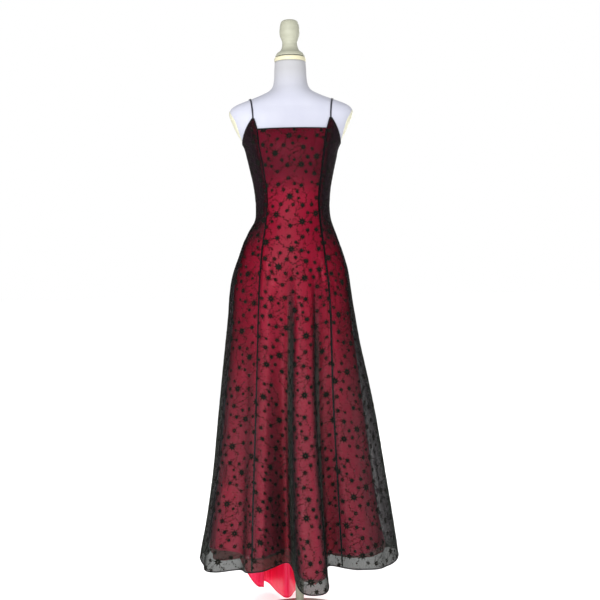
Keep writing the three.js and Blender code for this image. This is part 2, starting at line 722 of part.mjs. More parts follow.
// The slider lies along the cloth; the pull tab hangs plumb from the slider's arch
function addZip() {
  const z = BACK_NECK - SLIDER_DROP;
  const seam = pointOn(OVERLAY, 3, z);
  const above = pointOn(OVERLAY, 3, z + SLIDER.width);
  const lean = Math.atan2(above.y - seam.y, above.z - seam.z);
  const zip = new THREE.Group();
  zip.position.copy(seam);
  const outward = new THREE.Vector3(0, Math.cos(lean), -Math.sin(lean));
  const up = new THREE.Vector3(0, Math.sin(lean), Math.cos(lean));
  zip.setRotationFromMatrix(new THREE.Matrix4().makeBasis(up.clone().cross(outward), up, outward));
  root.add(zip);
  const slider = addMesh("zip_slider", sliderGeometry(), blackMetal, zip);
  slider.position.z = SEAT_GAP;
  const tab = addMesh("zip_pull_tab", tabGeometry(), blackMetal, zip);
  tab.position.z = SEAT_GAP + SLIDER.wall + (SLIDER.archHeight - SLIDER.archWall) / 2;
  tab.rotation.x = -lean;
}

addStand();
addForm();
addDress();
addZip();

export default root;
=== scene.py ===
"""A floor-length prom dress with thin straps, worn by a limbless dress form on a round base.

The cloth is worked out in millimetres from the same sizes as the solids and becomes metres when a mesh
is made. +Z is up and the dress faces -Y. u counts the panels round the dress: 0 is the centre front, 0.5
the front princess seam, 1.5 the side seam, 2.5 the back princess seam and 3 the centre back, negative
towards -X.
"""
import math
from functools import cached_property

import bpy
import numpy as np
from mathutils import Matrix, Vector


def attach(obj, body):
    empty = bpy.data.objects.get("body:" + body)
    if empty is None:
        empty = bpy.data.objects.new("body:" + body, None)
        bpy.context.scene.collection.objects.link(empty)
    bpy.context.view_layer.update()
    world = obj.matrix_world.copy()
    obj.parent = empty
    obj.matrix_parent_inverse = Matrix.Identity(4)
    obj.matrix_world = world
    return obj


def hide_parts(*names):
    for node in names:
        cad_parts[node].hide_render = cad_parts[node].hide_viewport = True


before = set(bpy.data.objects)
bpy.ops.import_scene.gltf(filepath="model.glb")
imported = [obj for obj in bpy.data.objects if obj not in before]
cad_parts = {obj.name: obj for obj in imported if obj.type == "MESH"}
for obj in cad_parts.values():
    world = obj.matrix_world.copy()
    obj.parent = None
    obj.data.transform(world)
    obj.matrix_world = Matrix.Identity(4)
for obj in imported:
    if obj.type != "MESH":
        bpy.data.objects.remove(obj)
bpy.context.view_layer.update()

MM = 0.001
BODY = "dress_and_form"


# Sizes of the dress, in millimetres
def table(columns, *rows):
    """An array for each named column of a table's rows."""
    return {name: np.array(values, float) for name, values in zip(columns.split(), zip(*rows))}


LINING_OFFSET = 2.3  # form to the lining's outer face in the fitted bodice
OVERLAY_OFFSET = 3.8
LINING_WALL = 0.5
NET_WALL = 0.4
LINING_TUCK = 1.5  # how far the lining's top lies under the net's
NECKLINE = 1475
STRAP_POINT = 1507
UNDERARM = 1442
BACK_NECK = 1424
BODICE_END = 1216
STRAP_INNER = 0.54  # u of the strap point's corners
STRAP_OUTER = 0.585
ARMHOLE_CURVE = 2.2
STRAP_WIDTH = 4.8
STRAP_WALL = 1.6
STRAP_CLEARANCE = 0.9
STRAP_X = {-1: (110, 125, 94), 1: (115, 127, 94)}  # front, crest and back, from the middle
STRAP_CREST = (0.45, 0.5)  # shares of the strap's run between which X is at its crest value
STRAP_BACK = 2.4  # u where a strap ends at the back
SHOULDER_CORE = (5, 1480)  # Y and Z of a line inside the shoulders, from which their surface is found
SHOULDER_REACH = 240
SHOULDER_FRONT = (-0.4, 0.45)  # directions searched in front and behind, as shares of half a turn
SHOULDER_BEHIND = (0.55, 1.4)
HALVINGS = 40  # steps of a search that halves its span
ZIP_END = 1178
SLIDER_DROP = 9
ROW_COUNT = 118  # rows of points down a cloth panel
ROW_CROWDING = 1.35  # above 1, rows lie closer together in the bodice
COLUMN_COUNTS = {"centre_front": 76, "side_front_right": 44, "side_front_left": 44}
BACK_COLUMNS = 40
FINE_STEPS = 400  # across a panel, where its length along the hem is measured
U_STEP = 0.01  # of u, by which the length of a step across the cloth is measured
BINDING_STEP = 0.012  # of u, between the points of the bound top edge
BINDING_LIFT = -0.9  # from the net's face to the middle of the binding
BINDING = (3.0, 2.6)  # width and height
ROLL_STEPS = 700
ROLL_LIFT = -0.4
NET_ROLL = (3.4, 2.2)
LINING_ROLL = (3.0, 1.6)
SEAM_GAP = 0.2
SEAM_COLUMNS = (2.5, 7)  # mm from a seam to the columns of points beside it
SEAM_DIP = 0.6  # how far a seam draws the cloth in
SEAM_DEPTH = 1.05  # overlay's face to the seam allowance
SEAM_WALL = 0.3
SEAM_ROWS = 170
FRONT_SEAM = ((1507, 3.4), (1300, 3.0), (1100, 2.6), (180, 2.9))  # height and half width
BACK_SEAM = ((1507, 2.6), (1100, 2.2), (90, 2.6))
SEAM_STRIPS = {
    "front_left": (-0.5, FRONT_SEAM),
    "front_right": (0.5, FRONT_SEAM),
    "side_left": (-1.5, BACK_SEAM),
    "side_right": (1.5, BACK_SEAM),
    "back_left": (-2.5, BACK_SEAM),
    "back_right": (2.5, BACK_SEAM),
    "centre_back": (3.0, BACK_SEAM),
}
HEM_TURN = 38  # height of the net's turned hem
HEM_TURN_RISE = 32  # how much deeper it is at its deepest place
HEM_TURN_PLACE = 1.08  # u of that place on each side, and how far from it the hem is deeper
HEM_TURN_REACH = 0.55
HEM_CREASE = np.array([1.5, 0, -1.5])  # three rows of points that lie at the turn's upper edge

FORM = table(
    "z width front back square",
    (1685, 46, 45, 45, 2.0),
    (1660, 47.5, 46, 47, 2.0),
    (1632, 49, 48, 50, 2.0),
    (1612, 54, 52, 56, 2.0),
    (1598, 66, 58, 63, 2.05),
    (1587, 88, 63, 70, 2.1),
    (1577, 112, 68, 76, 2.2),
    (1566, 142, 73, 81, 2.3),
    (1555, 168, 77, 85, 2.4),
    (1543, 181, 81, 88, 2.5),
    (1528, 182, 87, 92, 2.55),
    (1507, 174, 95, 97, 2.5),
    (1482, 163, 106, 101, 2.45),
    (1454, 149, 120, 103, 2.35),
    (1426, 136, 129, 101, 2.25),
    (1396, 129, 127, 96, 2.2),
    (1356, 120, 112, 88, 2.1),
    (1316, 112, 98, 81, 2.05),
    (1282, 108, 91, 77, 2.0),
    (1250, 106.5, 88, 76, 2.0),
    (1216, 110, 91, 84, 2.0),
    (1184, 119, 97, 97, 2.0),
    (1148, 131, 103, 111, 2.05),
    (1106, 145, 109, 124, 2.1),
    (1060, 155, 112, 130, 2.1),
    (1006, 156, 108, 124, 2.1),
    (968, 147, 99, 111, 2.1),
    (942, 134, 88, 96, 2.1),
    (930, 122, 78, 84, 2.1),
)
# The skirt below the bodice, to the overlay's outer face
SKIRT = table(
    "z left right front back square",
    (1184, 132, 124.5, 102, 103, 2.0),
    (1148, 150, 137, 110, 121, 2.05),
    (1106, 165, 151, 118, 137, 2.1),
    (1060, 182, 163, 126, 150, 2.1),
    (1006, 193, 170, 134, 162, 2.1),
    (930, 200, 181, 142, 176, 2.05),
    (840, 211, 196, 151, 192, 2.0),
    (730, 224, 219, 161, 209, 2.0),
    (600, 239, 243, 172, 227, 2.0),
    (460, 255, 264, 183, 245, 2.0),
    (320, 277, 285, 194, 260, 2.0),
    (208, 299, 300, 203, 268, 2.0),
    (12, 322, 322, 215, 276, 2.0),
)
# How far the lining skirt lies inside the overlay
INSET = table(
    "z left right front back",
    (1216, 0, 0, 0, 0),
    (1184, 4, 2.6, 2.2, 2.4),
    (1148, 7, 2.8, 3, 4),
    (1106, 9, 3.4, 4, 5),
    (1060, 11, 5, 6, 7),
    (1006, 13, 9, 9, 10),
    (840, 17, 18, 12, 14),
    (600, 18, 36, 14, 16),
    (320, 19, 42, 15, 18),
    (208, 26, 33, 16, 18),
    (12, 26, 33, 16, 18),
)
# Distance of each princess seam from the middle, along X
SEAMS = table(
    "z front_left front_right back",
    (1507, 102, 108, 96),
    (1475, 99, 104, 94),
    (1426, 95, 98, 88),
    (1356, 83, 89, 76),
    (1282, 75, 80, 66),
    (1216, 79, 82, 68),
    (1106, 94, 93, 80),
    (976, 103, 106, 92),
    (676, 113, 115, 108),
    (376, 124, 132, 122),
    (180, 129, 144, 130),
    (0, 134, 150, 136),
)
# Skirt folds: depth is how far a fold stands out at the hem, or in if negative, start the height where
# it begins, and a higher crest gives a broader top with steeper sides
FOLDS = table(
    "u half crest depth start",
    (0.078, 0.18, 4, 135, 1120),
    (-0.2, 0.2, 2, -100, 1160),
    (0.4, 0.2, 2, -68, 1100),
    (-0.47, 0.2, 2, 14, 1000),
    (-0.72, 0.18, 2, -24, 840),
    (-1.0, 0.2, 2, 16, 900),
    (0.78, 0.22, 2, 12, 900),
    (-1.78, 0.2, 2, -34, 930),
    (-2.12, 0.24, 2, 40, 1000),
    (1.84, 0.2, 2, -30, 960),
    (2.16, 0.22, 2, 46, 1020),
    (-2.46, 0.16, 2, -20, 1040),
    (2.5, 0.16, 2, -40, 1020),
    (-2.64, 0.14, 2.4, 70, 1060),
    (2.66, 0.14, 2.4, 58, 1040),
    (-2.82, 0.13, 2, -36, 980),
    (2.84, 0.12, 2, -26, 960),
    (3, 0.12, 2, 44, 900),
)
FOLD_ONSET = 1.25
FOLD_LIMIT = 1.1
FOLD_END = 208
HEM_WAVES = table(
    "u half rise",
    (0.08, 0.26, -16),
    (-0.35, 0.28, 9),
    (-1.0, 0.4, -12),
    (1.05, 0.5, -9),
    (-2.46, 0.2, 40),
    (-2.64, 0.1, 22),
    (2.86, 0.2, 45),
)
# How dark the net is made, from 0 to 1, and the u or heights where each band changes. The turned hem and
# the low band give a second layer of net; the side, upper and silhouette bands are painted shade
# Painted shade on the side panels: from half at the front seams to full round the sides, gone by the back
# seams, and rising over the bodice
SIDE_LEAST = 0.5
SIDE_BEGINS = (0.5, 0.8)
SIDE_ENDS = (1.9, 2.5)
SIDE_RISES = (1120, 1270)
# Painted shade over the upper bodice all round, a little lighter towards the neckline
UPPER_SHADE_SHARE = 0.27
UPPER_SHADE_RISES = (1275, 1360)
UPPER_SHADE_LOSS = 0.07
UPPER_SHADE_THINS = (1380, 1475)
LOW_SHARE = 0.1
LOW_FADES = (560, 1050)
HEM_SHARE = 0.57
HEM_FADES = (-1, 1)
# Painted shade where the dress turns away at its sides, about the side seams
SILHOUETTE_SHADE_SHARE = 0.6
SILHOUETTE_SHADE_BEGINS = (1.05, 1.35)
SILHOUETTE_SHADE_ENDS = (1.65, 2.0)
# Painted shade beside a fold, where the net is made darker: place, half span, the height where it begins,
# and share
FOLD_SHADE_BANDS = table(
    "u half start share",
    (-0.085, 0.05, 1080, 0.85),
    (0.26, 0.06, 1040, 0.85),
    (-2.55, 0.05, 900, 0.55),
    (-2.76, 0.04, 860, 0.5),
    (2.56, 0.05, 880, 0.55),
    (2.78, 0.04, 900, 0.45),
)
FOLD_SHADE_FALL = 300  # the drop over which a fold's painted shade fills out
FOLD_SHADE_CREST = 4
TAIL_LEFT = (2.13, 2.46)  # where the hem begins to drop towards the centre back, and where it is down
TAIL_RIGHT = (2.58, 2.8)

PANELS = {
    "centre_front": (-0.5, 0.5),
    "side_front_right": (0.5, 1.5),
    "side_back_right": (1.5, 2.5),
    "centre_back_right": (2.5, 3.0),
    "centre_back_left": (-3.0, -2.5),
    "side_back_left": (-2.5, -1.5),
    "side_front_left": (-1.5, -0.5),
}

# Soft creases of both layers: place, half spans across and down, lean in u for each mm down, and depth
CREASES = table(
    "u z half_u half_z lean depth",
    (-0.20, 1325, 0.26, 9, -0.004, 3.0),
    (-0.16, 1309, 0.28, 9, -0.004, -1.6),
    (-0.06, 1294, 0.26, 9, 0, 2.2),
    (0.16, 1309, 0.26, 8, 0, -0.7),
    (0.30, 1288, 0.20, 9, 0, -0.7),
    (-0.22, 1276, 0.24, 9, 0, -0.8),
    (0.05, 1330, 0.20, 8, 0, 0.7),
    (-0.75, 1300, 0.25, 9, 0, -0.8),
    (0.80, 1296, 0.25, 9, 0, -0.8),
    (-2.0, 1292, 0.40, 9, 0, -0.8),
    (2.1, 1300, 0.40, 9, 0, -0.8),
    (-2.7, 1310, 0.25, 8, 0, -0.8),
    (2.75, 1284, 0.25, 9, 0, -0.8),
    (0.40, 1068, 0.06, 52, 0, -4.5),
    (-0.35, 1060, 0.06, 44, 0, -4),
    (-0.98, 455, 0.10, 60, 0, -7),
    (-0.36, 290, 0.05, 150, 0, -5),
    (-0.68, 700, 0.09, 130, 0.0001, -4),
    (0.72, 620, 0.10, 150, -0.0001, -4.5),
    (1.15, 480, 0.12, 170, 0, -6),
    (-1.25, 610, 0.11, 140, 0, -5),
    (1.62, 700, 0.12, 160, 0.0001, -5),
    (-1.58, 520, 0.10, 120, 0, -5),
    (2.0, 560, 0.10, 140, 0, -5),
    (-2.0, 640, 0.11, 160, 0, -6),
    (-2.3, 480, 0.08, 120, 0, 5),
    (2.34, 620, 0.08, 150, 0, 5),
    (0.12, 760, 0.06, 120, 0, 2.5),
    (-0.05, 900, 0.10, 90, 0, -2),
    (0.25, 950, 0.07, 80, 0, -2.5),
    (-0.62, 980, 0.08, 60, 0, -2.5),
    (0.64, 1010, 0.07, 55, 0, -2.5),
)


def at(rows, name, z):
    """One column of a table at heights z, smoothly from row to row."""
    zs, values = rows["z"], rows[name]
    z = np.clip(z, zs[-1], zs[0])
    last = len(zs) - 1
    i = np.clip(np.searchsorted(-zs, -z, side="right") - 1, 0, last - 1)
    span = zs[i + 1] - zs[i]
    t = (z - zs[i]) / span

    def slope(k):
        before, after = np.maximum(k - 1, 0), np.minimum(k + 1, last)
        return (values[after] - values[before]) / (zs[after] - zs[before]) * span

    ease = t * t * (3 - 2 * t)
    blended = values[i] * (1 - ease) + values[i + 1] * ease
    return blended + slope(i) * t * (1 - t) ** 2 - slope(i + 1) * t * t * (1 - t)


def smooth_step(low, high, value):
    """0 up to low, 1 from high, and an even rise between them."""
    t = np.clip((value - low) / (high - low), 0, 1)
    return t * t * (3 - 2 * t)


def swell(distance, crest=2.0):
    """1 at distance 0, falling to 0 at distance 1. A higher crest gives a broader top."""
    return np.where(distance < 1, (1 - np.minimum(distance, 1) ** crest) ** 2, 0)


def round_distance(a, b):
    """Distance in u round the dress; -3 and 3 are the same place."""
    d = np.abs(a - b)
    return np.minimum(d, 6 - d)


def layer_rows(offset):
    """A layer's sections: the form and an offset in the bodice, and the skirt below it."""
    keep = FORM["z"] >= BODICE_END
    rows = {"z": FORM["z"][keep], "square": FORM["square"][keep]}
    for name, source in (("left", "width"), ("right", "width"), ("front", "front"), ("back", "back")):
        rows[name] = FORM[source][keep] + offset
    return {name: np.concatenate([rows[name], SKIRT[name]]) for name in rows}


# Each layer's sections, inset and tuck, and the heights of its hem in front and of its tail
LINING = {"rows": layer_rows(LINING_OFFSET), "inset": INSET, "tuck": LINING_TUCK, "hem": 238, "tail": 6}
OVERLAY = {"rows": layer_rows(OVERLAY_OFFSET), "inset": None, "tuck": 0, "hem": 208, "tail": 112}


def angle_at(u, z):
    """The angle of u at height z: 0 at the front, positive towards +X."""
    level = np.minimum(z, STRAP_POINT)
    square = at(OVERLAY["rows"], "square", level)

    def seam_angle(seam, side):
        return np.arcsin((at(SEAMS, seam, level) / at(OVERLAY["rows"], side, level)) ** (square / 2))

    left, right = seam_angle("front_left", "left"), seam_angle("front_right", "right")
    place = np.abs(u)
    front_seam = np.where(u < 0, left, right)
    back_seam = math.pi - np.where(u < 0, seam_angle("back", "left"), seam_angle("back", "right"))
    side_seam = math.pi / 2
    outer = np.where(
        place < 1.5,
        front_seam + (side_seam - front_seam) * (place - 0.5),
        side_seam + (back_seam - side_seam) * (place - 1.5),
    )
    outer = np.where(place > 2.5, back_seam + (math.pi - back_seam) * (place - 2.5) / 0.5, outer)
    return np.where(place <= 0.5, -left + (right + left) * (u + 0.5), np.sign(u) * outer)


def fold_at(u, z):
    """How far the skirt's folds stand out."""
    stands = np.zeros(np.broadcast(u, z).shape)
    for place, half, crest, depth, start in zip(*FOLDS.values()):
        grown = np.clip((start - z) / (start - FOLD_END), 0, FOLD_LIMIT)
        stands += depth * grown**FOLD_ONSET * swell(round_distance(u, place) / half, crest)
    return stands


def crease_at(u, z):
    """How far the soft creases stand out."""
    stands = np.zeros(np.broadcast(u, z).shape)
    for place, height, half_u, half_z, lean, depth in zip(*CREASES.values()):
        across = round_distance(u, place + lean * (height - z)) / half_u
        stands += depth * swell(across) * swell(np.abs(z - height) / half_z)
    return stands


def point_on(layer, u, z, lift=0.0):
    """Points of a layer's outer face, in mm, moved out along the face's turn by lift."""
    u, z = np.broadcast_arrays(np.asarray(u, float), np.asarray(z, float))
    rows = layer["rows"]
    angle = angle_at(u, z)
    s, c = np.sin(angle), np.cos(angle)
    stands = fold_at(u, z) + crease_at(u, z) + lift
    if layer["inset"] is not None:
        side = np.where(s < 0, at(INSET, "left", z), at(INSET, "right", z))
        face = np.where(c > 0, at(INSET, "front", z), at(INSET, "back", z))
        stands = stands - side * s**2 - face * c**2
    power = 2 / at(rows, "square", z)
    x = np.where(s < 0, -at(rows, "left", z), at(rows, "right", z)) * np.abs(s) ** power
    y = np.where(c > 0, -at(rows, "front", z), at(rows, "back", z)) * np.abs(c) ** power
    return np.stack([x + s * stands, y - c * stands, z], axis=-1)


def normal_on(layer, u, z):
    """The outward direction of a layer's face."""
    du, dz = 0.004, 1.0
    across = point_on(layer, u + du, z) - point_on(layer, u - du, z)
    down = point_on(layer, u, z - dz) - point_on(layer, u, z + dz)
    normal = np.cross(down, across)
    return normal / np.linalg.norm(normal, axis=-1, keepdims=True)


def top_edge(u):
    """Height of the net's upper edge: neckline, strap points, armholes and back."""
    place = np.abs(u)
    rising = NECKLINE + (STRAP_POINT - NECKLINE) * (place - 0.5) / (STRAP_INNER - 0.5)
    fall = np.clip(1 - (place - STRAP_OUTER) / (1.5 - STRAP_OUTER), 0, 1)
    armhole = UNDERARM + (STRAP_POINT - UNDERARM) * fall**ARMHOLE_CURVE
    behind = UNDERARM + (BACK_NECK - UNDERARM) * smooth_step(1.5, 3, place)
    return np.select(
        [place <= 0.5, place <= STRAP_INNER, place <= STRAP_OUTER, place <= 1.5],
        [NECKLINE + 0 * place, rising, STRAP_POINT + 0 * place, armhole],
        behind,
    )


def hem_edge(layer, u):
    """Height of a layer's hem, which drops to its tail at the centre back."""
    waves = sum(r * swell(round_distance(u, p) / h) for p, h, r in zip(*HEM_WAVES.values()))
    left, right = smooth_step(*TAIL_LEFT, np.abs(u)), smooth_step(*TAIL_RIGHT, np.abs(u))
    return layer["hem"] + waves + (layer["tail"] - layer["hem"]) * np.where(u < 0, left, right)


# Meshes
def linked(name, data):
    """An object for its data, linked to the scene."""
    made = bpy.data.objects.new(name, data)
    bpy.context.scene.collection.objects.link(made)
    return made


def new_object(name, points, faces, material, uvs=None, smooth=True):
    """A mesh object from points in mm. uvs holds a place on the flat cloth, in mm, for each point."""
    mesh = bpy.data.meshes.new(name)
    faces = faces.tolist() if isinstance(faces, np.ndarray) else faces
    mesh.from_pydata((np.asarray(points) * MM).tolist(), [], faces)
    mesh.materials.append(material)
    if uvs is not None:
        corner = np.empty(len(mesh.loops), np.int32)
        mesh.loops.foreach_get("vertex_index", corner)
        layer = mesh.uv_layers.new(name="cloth")
        layer.data.foreach_set("uv", (np.asarray(uvs)[corner] * MM).astype(np.float32).ravel())
    mesh.polygons.foreach_set("use_smooth", np.full(len(mesh.polygons), smooth))
    mesh.update()
    return linked(name, mesh)


def mark(piece, slot, *nodes):
    """Gives a piece its body, and hides the solids that it replaces, named by nodes. slot is not used."""
    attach(piece, BODY)
    if nodes:
        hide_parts(*nodes)
    return piece


def grid_faces(rows, columns, start=0, flip=False, closed=False):
    """Quads of a grid of points, row by row. closed joins the last column to the first."""
    r, c = np.meshgrid(np.arange(rows - 1), np.arange(columns if closed else columns - 1), indexing="ij")
    following = (c + 1) % columns
    a, b = r * columns + c, r * columns + following
    faces = np.stack([a, a + columns, b + columns, b], axis=-1).reshape(-1, 4) + start
    return faces[:, ::-1] if flip else faces


def ring_faces(rows, sides, flip=False):
    """Quads of rings of points, with the last ring joined to the first."""
    return (grid_faces(rows + 1, sides, flip=flip, closed=True) % (rows * sides)).tolist()


def capped_faces(rows, sides, flip=False):
    """Quads of rings of points, with a face over each open end."""
    faces = grid_faces(rows, sides, flip=flip, closed=True).tolist()
    first, last = list(range(sides)), list(range((rows - 1) * sides, rows * sides))
    return faces + ([first[::-1], last] if flip else [first, last[::-1]])


def shell(name, outer, inner, material, uvs):
    """A closed thin wall between two grids of points whose rows run from the top down."""
    rows, columns = outer.shape[:2]
    count = rows * columns
    rim = np.concatenate([
        np.arange(columns),
        np.arange(2, rows + 1) * columns - 1,
        (rows - 1) * columns + np.arange(columns - 2, -1, -1),
        np.arange(rows - 2, 0, -1) * columns,
    ])
    following = np.roll(rim, -1)
    edge = np.stack([rim, following, following + count, rim + count], axis=-1)
    faces = np.concatenate([grid_faces(rows, columns), grid_faces(rows, columns, count, flip=True), edge])
    points = np.concatenate([outer.reshape(-1, 3), inner.reshape(-1, 3)])
    return new_object(name, points, faces, material, np.concatenate([uvs.reshape(-1, 2)] * 2))


def between(grid, row, column):
    """Values of a grid at places between its rows and columns."""
    r = np.clip(row.astype(int), 0, grid.shape[0] - 2)
    c = np.clip(column.astype(int), 0, grid.shape[1] - 2)
    fr, fc = row - r, np.clip(column - c, 0, 1)
    upper = grid[r, c] * (1 - fc) + grid[r, c + 1] * fc
    lower = grid[r + 1, c] * (1 - fc) + grid[r + 1, c + 1] * fc
    return upper * (1 - fr) + lower * fr


class Chart:
    """A panel laid flat: s runs across from its middle line and t down from the strap point, in mm."""

    STEP = 5.0  # mm between rows
    COLUMNS = 161
    EVEN_STEPS = 400  # across, where places on the flat cloth are looked up
    MARGIN = 0.05  # of u, past each seam

    def __init__(self, layer, first, last):
        self.first, self.last, self.layer = first, last, layer
        self.u = np.linspace(first - self.MARGIN, last + self.MARGIN, self.COLUMNS)
        low = hem_edge(layer, self.u).min() - self.STEP
        self.z = np.arange(STRAP_POINT, low - self.STEP, -self.STEP)
        points = point_on(layer, self.u[None, :], self.z[:, None])
        along = np.linalg.norm(np.diff(points, axis=1), axis=2)
        across = np.concatenate([np.zeros((len(self.z), 1)), np.cumsum(along, axis=1)], axis=1)
        middle = self.COLUMNS // 2
        self.s = across - across[:, [middle]]
        drop = np.linalg.norm(np.diff(points[:, middle], axis=0), axis=1)
        self.t = np.concatenate([[0], np.cumsum(drop)])
        self.even_s = np.linspace(self.s.min(), self.s.max(), self.EVEN_STEPS)
        self.u_of = np.stack([np.interp(self.even_s, row, self.u) for row in self.s])

    def flat(self, u, z):
        """Where points of the panel lie on the flat cloth."""
        row = np.interp(-z, -self.z, np.arange(len(self.z)))
        column = (u - self.u[0]) / (self.u[1] - self.u[0])
        return np.stack([between(self.s, row, column), np.interp(-z, -self.z, self.t)], axis=-1)

    def place(self, s, t):
        """u and z of places on the flat cloth. Past a side edge, u lies outside the panel."""
        row = np.interp(t, self.t, np.arange(len(self.z)))
        column = (s - self.even_s[0]) / (self.even_s[1] - self.even_s[0])
        return between(self.u_of, row, column), np.interp(t, self.t, self.z)


def panel_columns(layer, first, last, count):
    """u of each column: even steps of both u and the length along the hem, and the corners of the top."""
    u = np.linspace(first, last, FINE_STEPS)
    points = point_on(layer, u, np.full(len(u), float(FOLD_END)))
    length = np.concatenate([[0], np.cumsum(np.linalg.norm(np.diff(points, axis=0), axis=1))])
    even = (length / length[-1] + (u - first) / (last - first)) / 2
    columns = np.interp(np.linspace(0, 1, count - 2 * len(SEAM_COLUMNS)), even, u)
    share = np.array(SEAM_COLUMNS) / length[-1]
    by_seams = np.interp(np.concatenate([share, 1 - share]), length / length[-1], u)
    columns = np.sort(np.concatenate([columns, by_seams]))
    for corner in (STRAP_INNER, STRAP_OUTER, -STRAP_INNER, -STRAP_OUTER):
        if first < corner < last:
            columns[np.argmin(np.abs(columns - corner))] = corner
    return columns


def hem_turn(u):
    """Height of the top of the net's turned hem, deeper towards the side seams."""
    deeper = swell(np.abs(np.abs(u) - HEM_TURN_PLACE) / HEM_TURN_REACH)
    return hem_edge(OVERLAY, u) + HEM_TURN + HEM_TURN_RISE * deeper


def doubling_and_shade_at(u, z):
    """How dark the net is made, from 0 to 1: the most that any band gives. The hem band is a second layer
    of net; the side, upper, silhouette and fold bands are painted shade.
    """
    place = np.abs(u)
    side = SIDE_LEAST + (1 - SIDE_LEAST) * smooth_step(*SIDE_BEGINS, place)
    side = np.where(place > SIDE_BEGINS[0], side, 0)
    side = side * (1 - smooth_step(*SIDE_ENDS, place)) * smooth_step(*SIDE_RISES, z)
    upper_shade = UPPER_SHADE_SHARE * smooth_step(*UPPER_SHADE_RISES, z) - UPPER_SHADE_LOSS * smooth_step(*UPPER_SHADE_THINS, z)
    low = LOW_SHARE * (1 - smooth_step(*LOW_FADES, z))
    hem = HEM_SHARE * (1 - smooth_step(*HEM_FADES, z - hem_turn(u)))
    silhouette_shade = SILHOUETTE_SHADE_SHARE * smooth_step(*SILHOUETTE_SHADE_BEGINS, place)
    silhouette_shade = silhouette_shade * (1 - smooth_step(*SILHOUETTE_SHADE_ENDS, place))
    fold_shade = np.zeros(np.broadcast(u, z).shape)
    for middle, half, start, share in zip(*FOLD_SHADE_BANDS.values()):
        fallen = smooth_step(0, FOLD_SHADE_FALL, start - z)
        fold_shade = np.maximum(fold_shade, share * fallen * swell(round_distance(u, middle) / half, FOLD_SHADE_CREST))
    return np.maximum.reduce([side, upper_shade, low, hem, silhouette_shade, fold_shade])


def beside(layer, u, z, offset, step=U_STEP):
    """u of places that lie offset mm from u at heights z, on the side that step points to."""
    speed = np.linalg.norm(point_on(layer, u + step, z) - point_on(layer, u, z), axis=-1) / step
    return u + offset / speed


def rows_down(top, low, count):
    """Heights of rows from the top down, closer together in the bodice."""
    return top + (low - top) * np.linspace(0, 1, count)[:, None] ** ROW_CROWDING


def panel_places(layer, columns):
    """u and z of a panel's points, with its side edges a little short of the seams."""
    z = rows_down(top_edge(columns) - layer["tuck"], hem_edge(layer, columns), ROW_COUNT)
    u = np.broadcast_to(columns, z.shape).copy()
    for column, inward in ((0, U_STEP), (-1, -U_STEP)):
        u[:, column] = beside(layer, u[:, column], z[:, column], SEAM_GAP, inward)
    if layer is OVERLAY:
        turn = hem_turn(columns)
        for column, row in enumerate(np.argmin(np.abs(z - turn), axis=0)):
            z[row - 1 : row + 2, column] = turn[column] + HEM_CREASE
    return u, z


def cloth_panel(name, layer, wall, material, slot):
    """One panel of a layer as a thin closed shell."""
    first, last = PANELS[name]
    columns = panel_columns(layer, first, last, COLUMN_COUNTS.get(name, BACK_COLUMNS))
    u, z = panel_places(layer, columns)
    outer, normal = point_on(layer, u, z), normal_on(layer, u, z)
    dip = np.interp(np.arange(len(columns)), (0, 1, 2), (SEAM_DIP, SEAM_DIP / 3, 0))
    outer -= normal * np.maximum(dip, dip[::-1])[:, None]
    chart = Chart(layer, first, last)
    flat = chart.flat(u, z)
    prefix = "overlay_" if layer is OVERLAY else "lining_"
    piece = shell(prefix + name + "_cloth", outer, outer - normal * wall, material, flat)
    mark(piece, slot, prefix + name)
    if layer is OVERLAY:
        # The net's points hold how dark it is made: a second layer at the hem and low down, and painted
        # shade in the other bands
        attribute = piece.data.attributes.new("doubled_and_shade", "FLOAT", "POINT")
        attribute.data.foreach_set("value", np.tile(doubling_and_shade_at(u, z).ravel(), 2).astype(np.float32))
    return chart


def turned(name, profile, material, sides=96, bore=0.0):
    """A turned piece from rows of radius and height in mm, bottom to top, with flat ends or a bore."""
    radius, height = np.array(profile, float).T
    if bore:
        radius = np.append(radius, [bore, bore])
        height = np.append(height, [height[-1], height[0]])
    angle = np.linspace(0, 2 * math.pi, sides, endpoint=False)
    x, y = np.outer(radius, np.cos(angle)), np.outer(radius, np.sin(angle))
    rings = np.stack([x, y, np.outer(height, np.ones(sides))], axis=-1)
    join = ring_faces if bore else capped_faces
    return new_object(name, rings.reshape(-1, 3), join(len(radius), sides, flip=True), material)


def rounded(rows, steps=5):
    """A smooth profile through rows of radius and height."""
    points = np.array(rows, float)
    before = np.concatenate([[points[0]], points[:-1]])
    after = np.concatenate([points[1:], [points[-1]]])
    slopes = (after - before) / 2
    t = np.linspace(0, 1, steps, endpoint=False)[:, None]
    ease = t * t * (3 - 2 * t)
    out = []
    for i in range(len(points) - 1):
        a, b = points[i], points[i + 1]
        eased = a * (1 - ease) + b * ease
        out.append(eased + slopes[i] * t * (1 - t) ** 2 - slopes[i + 1] * t * t * (1 - t))
    return np.concatenate(out + [points[-1:]])


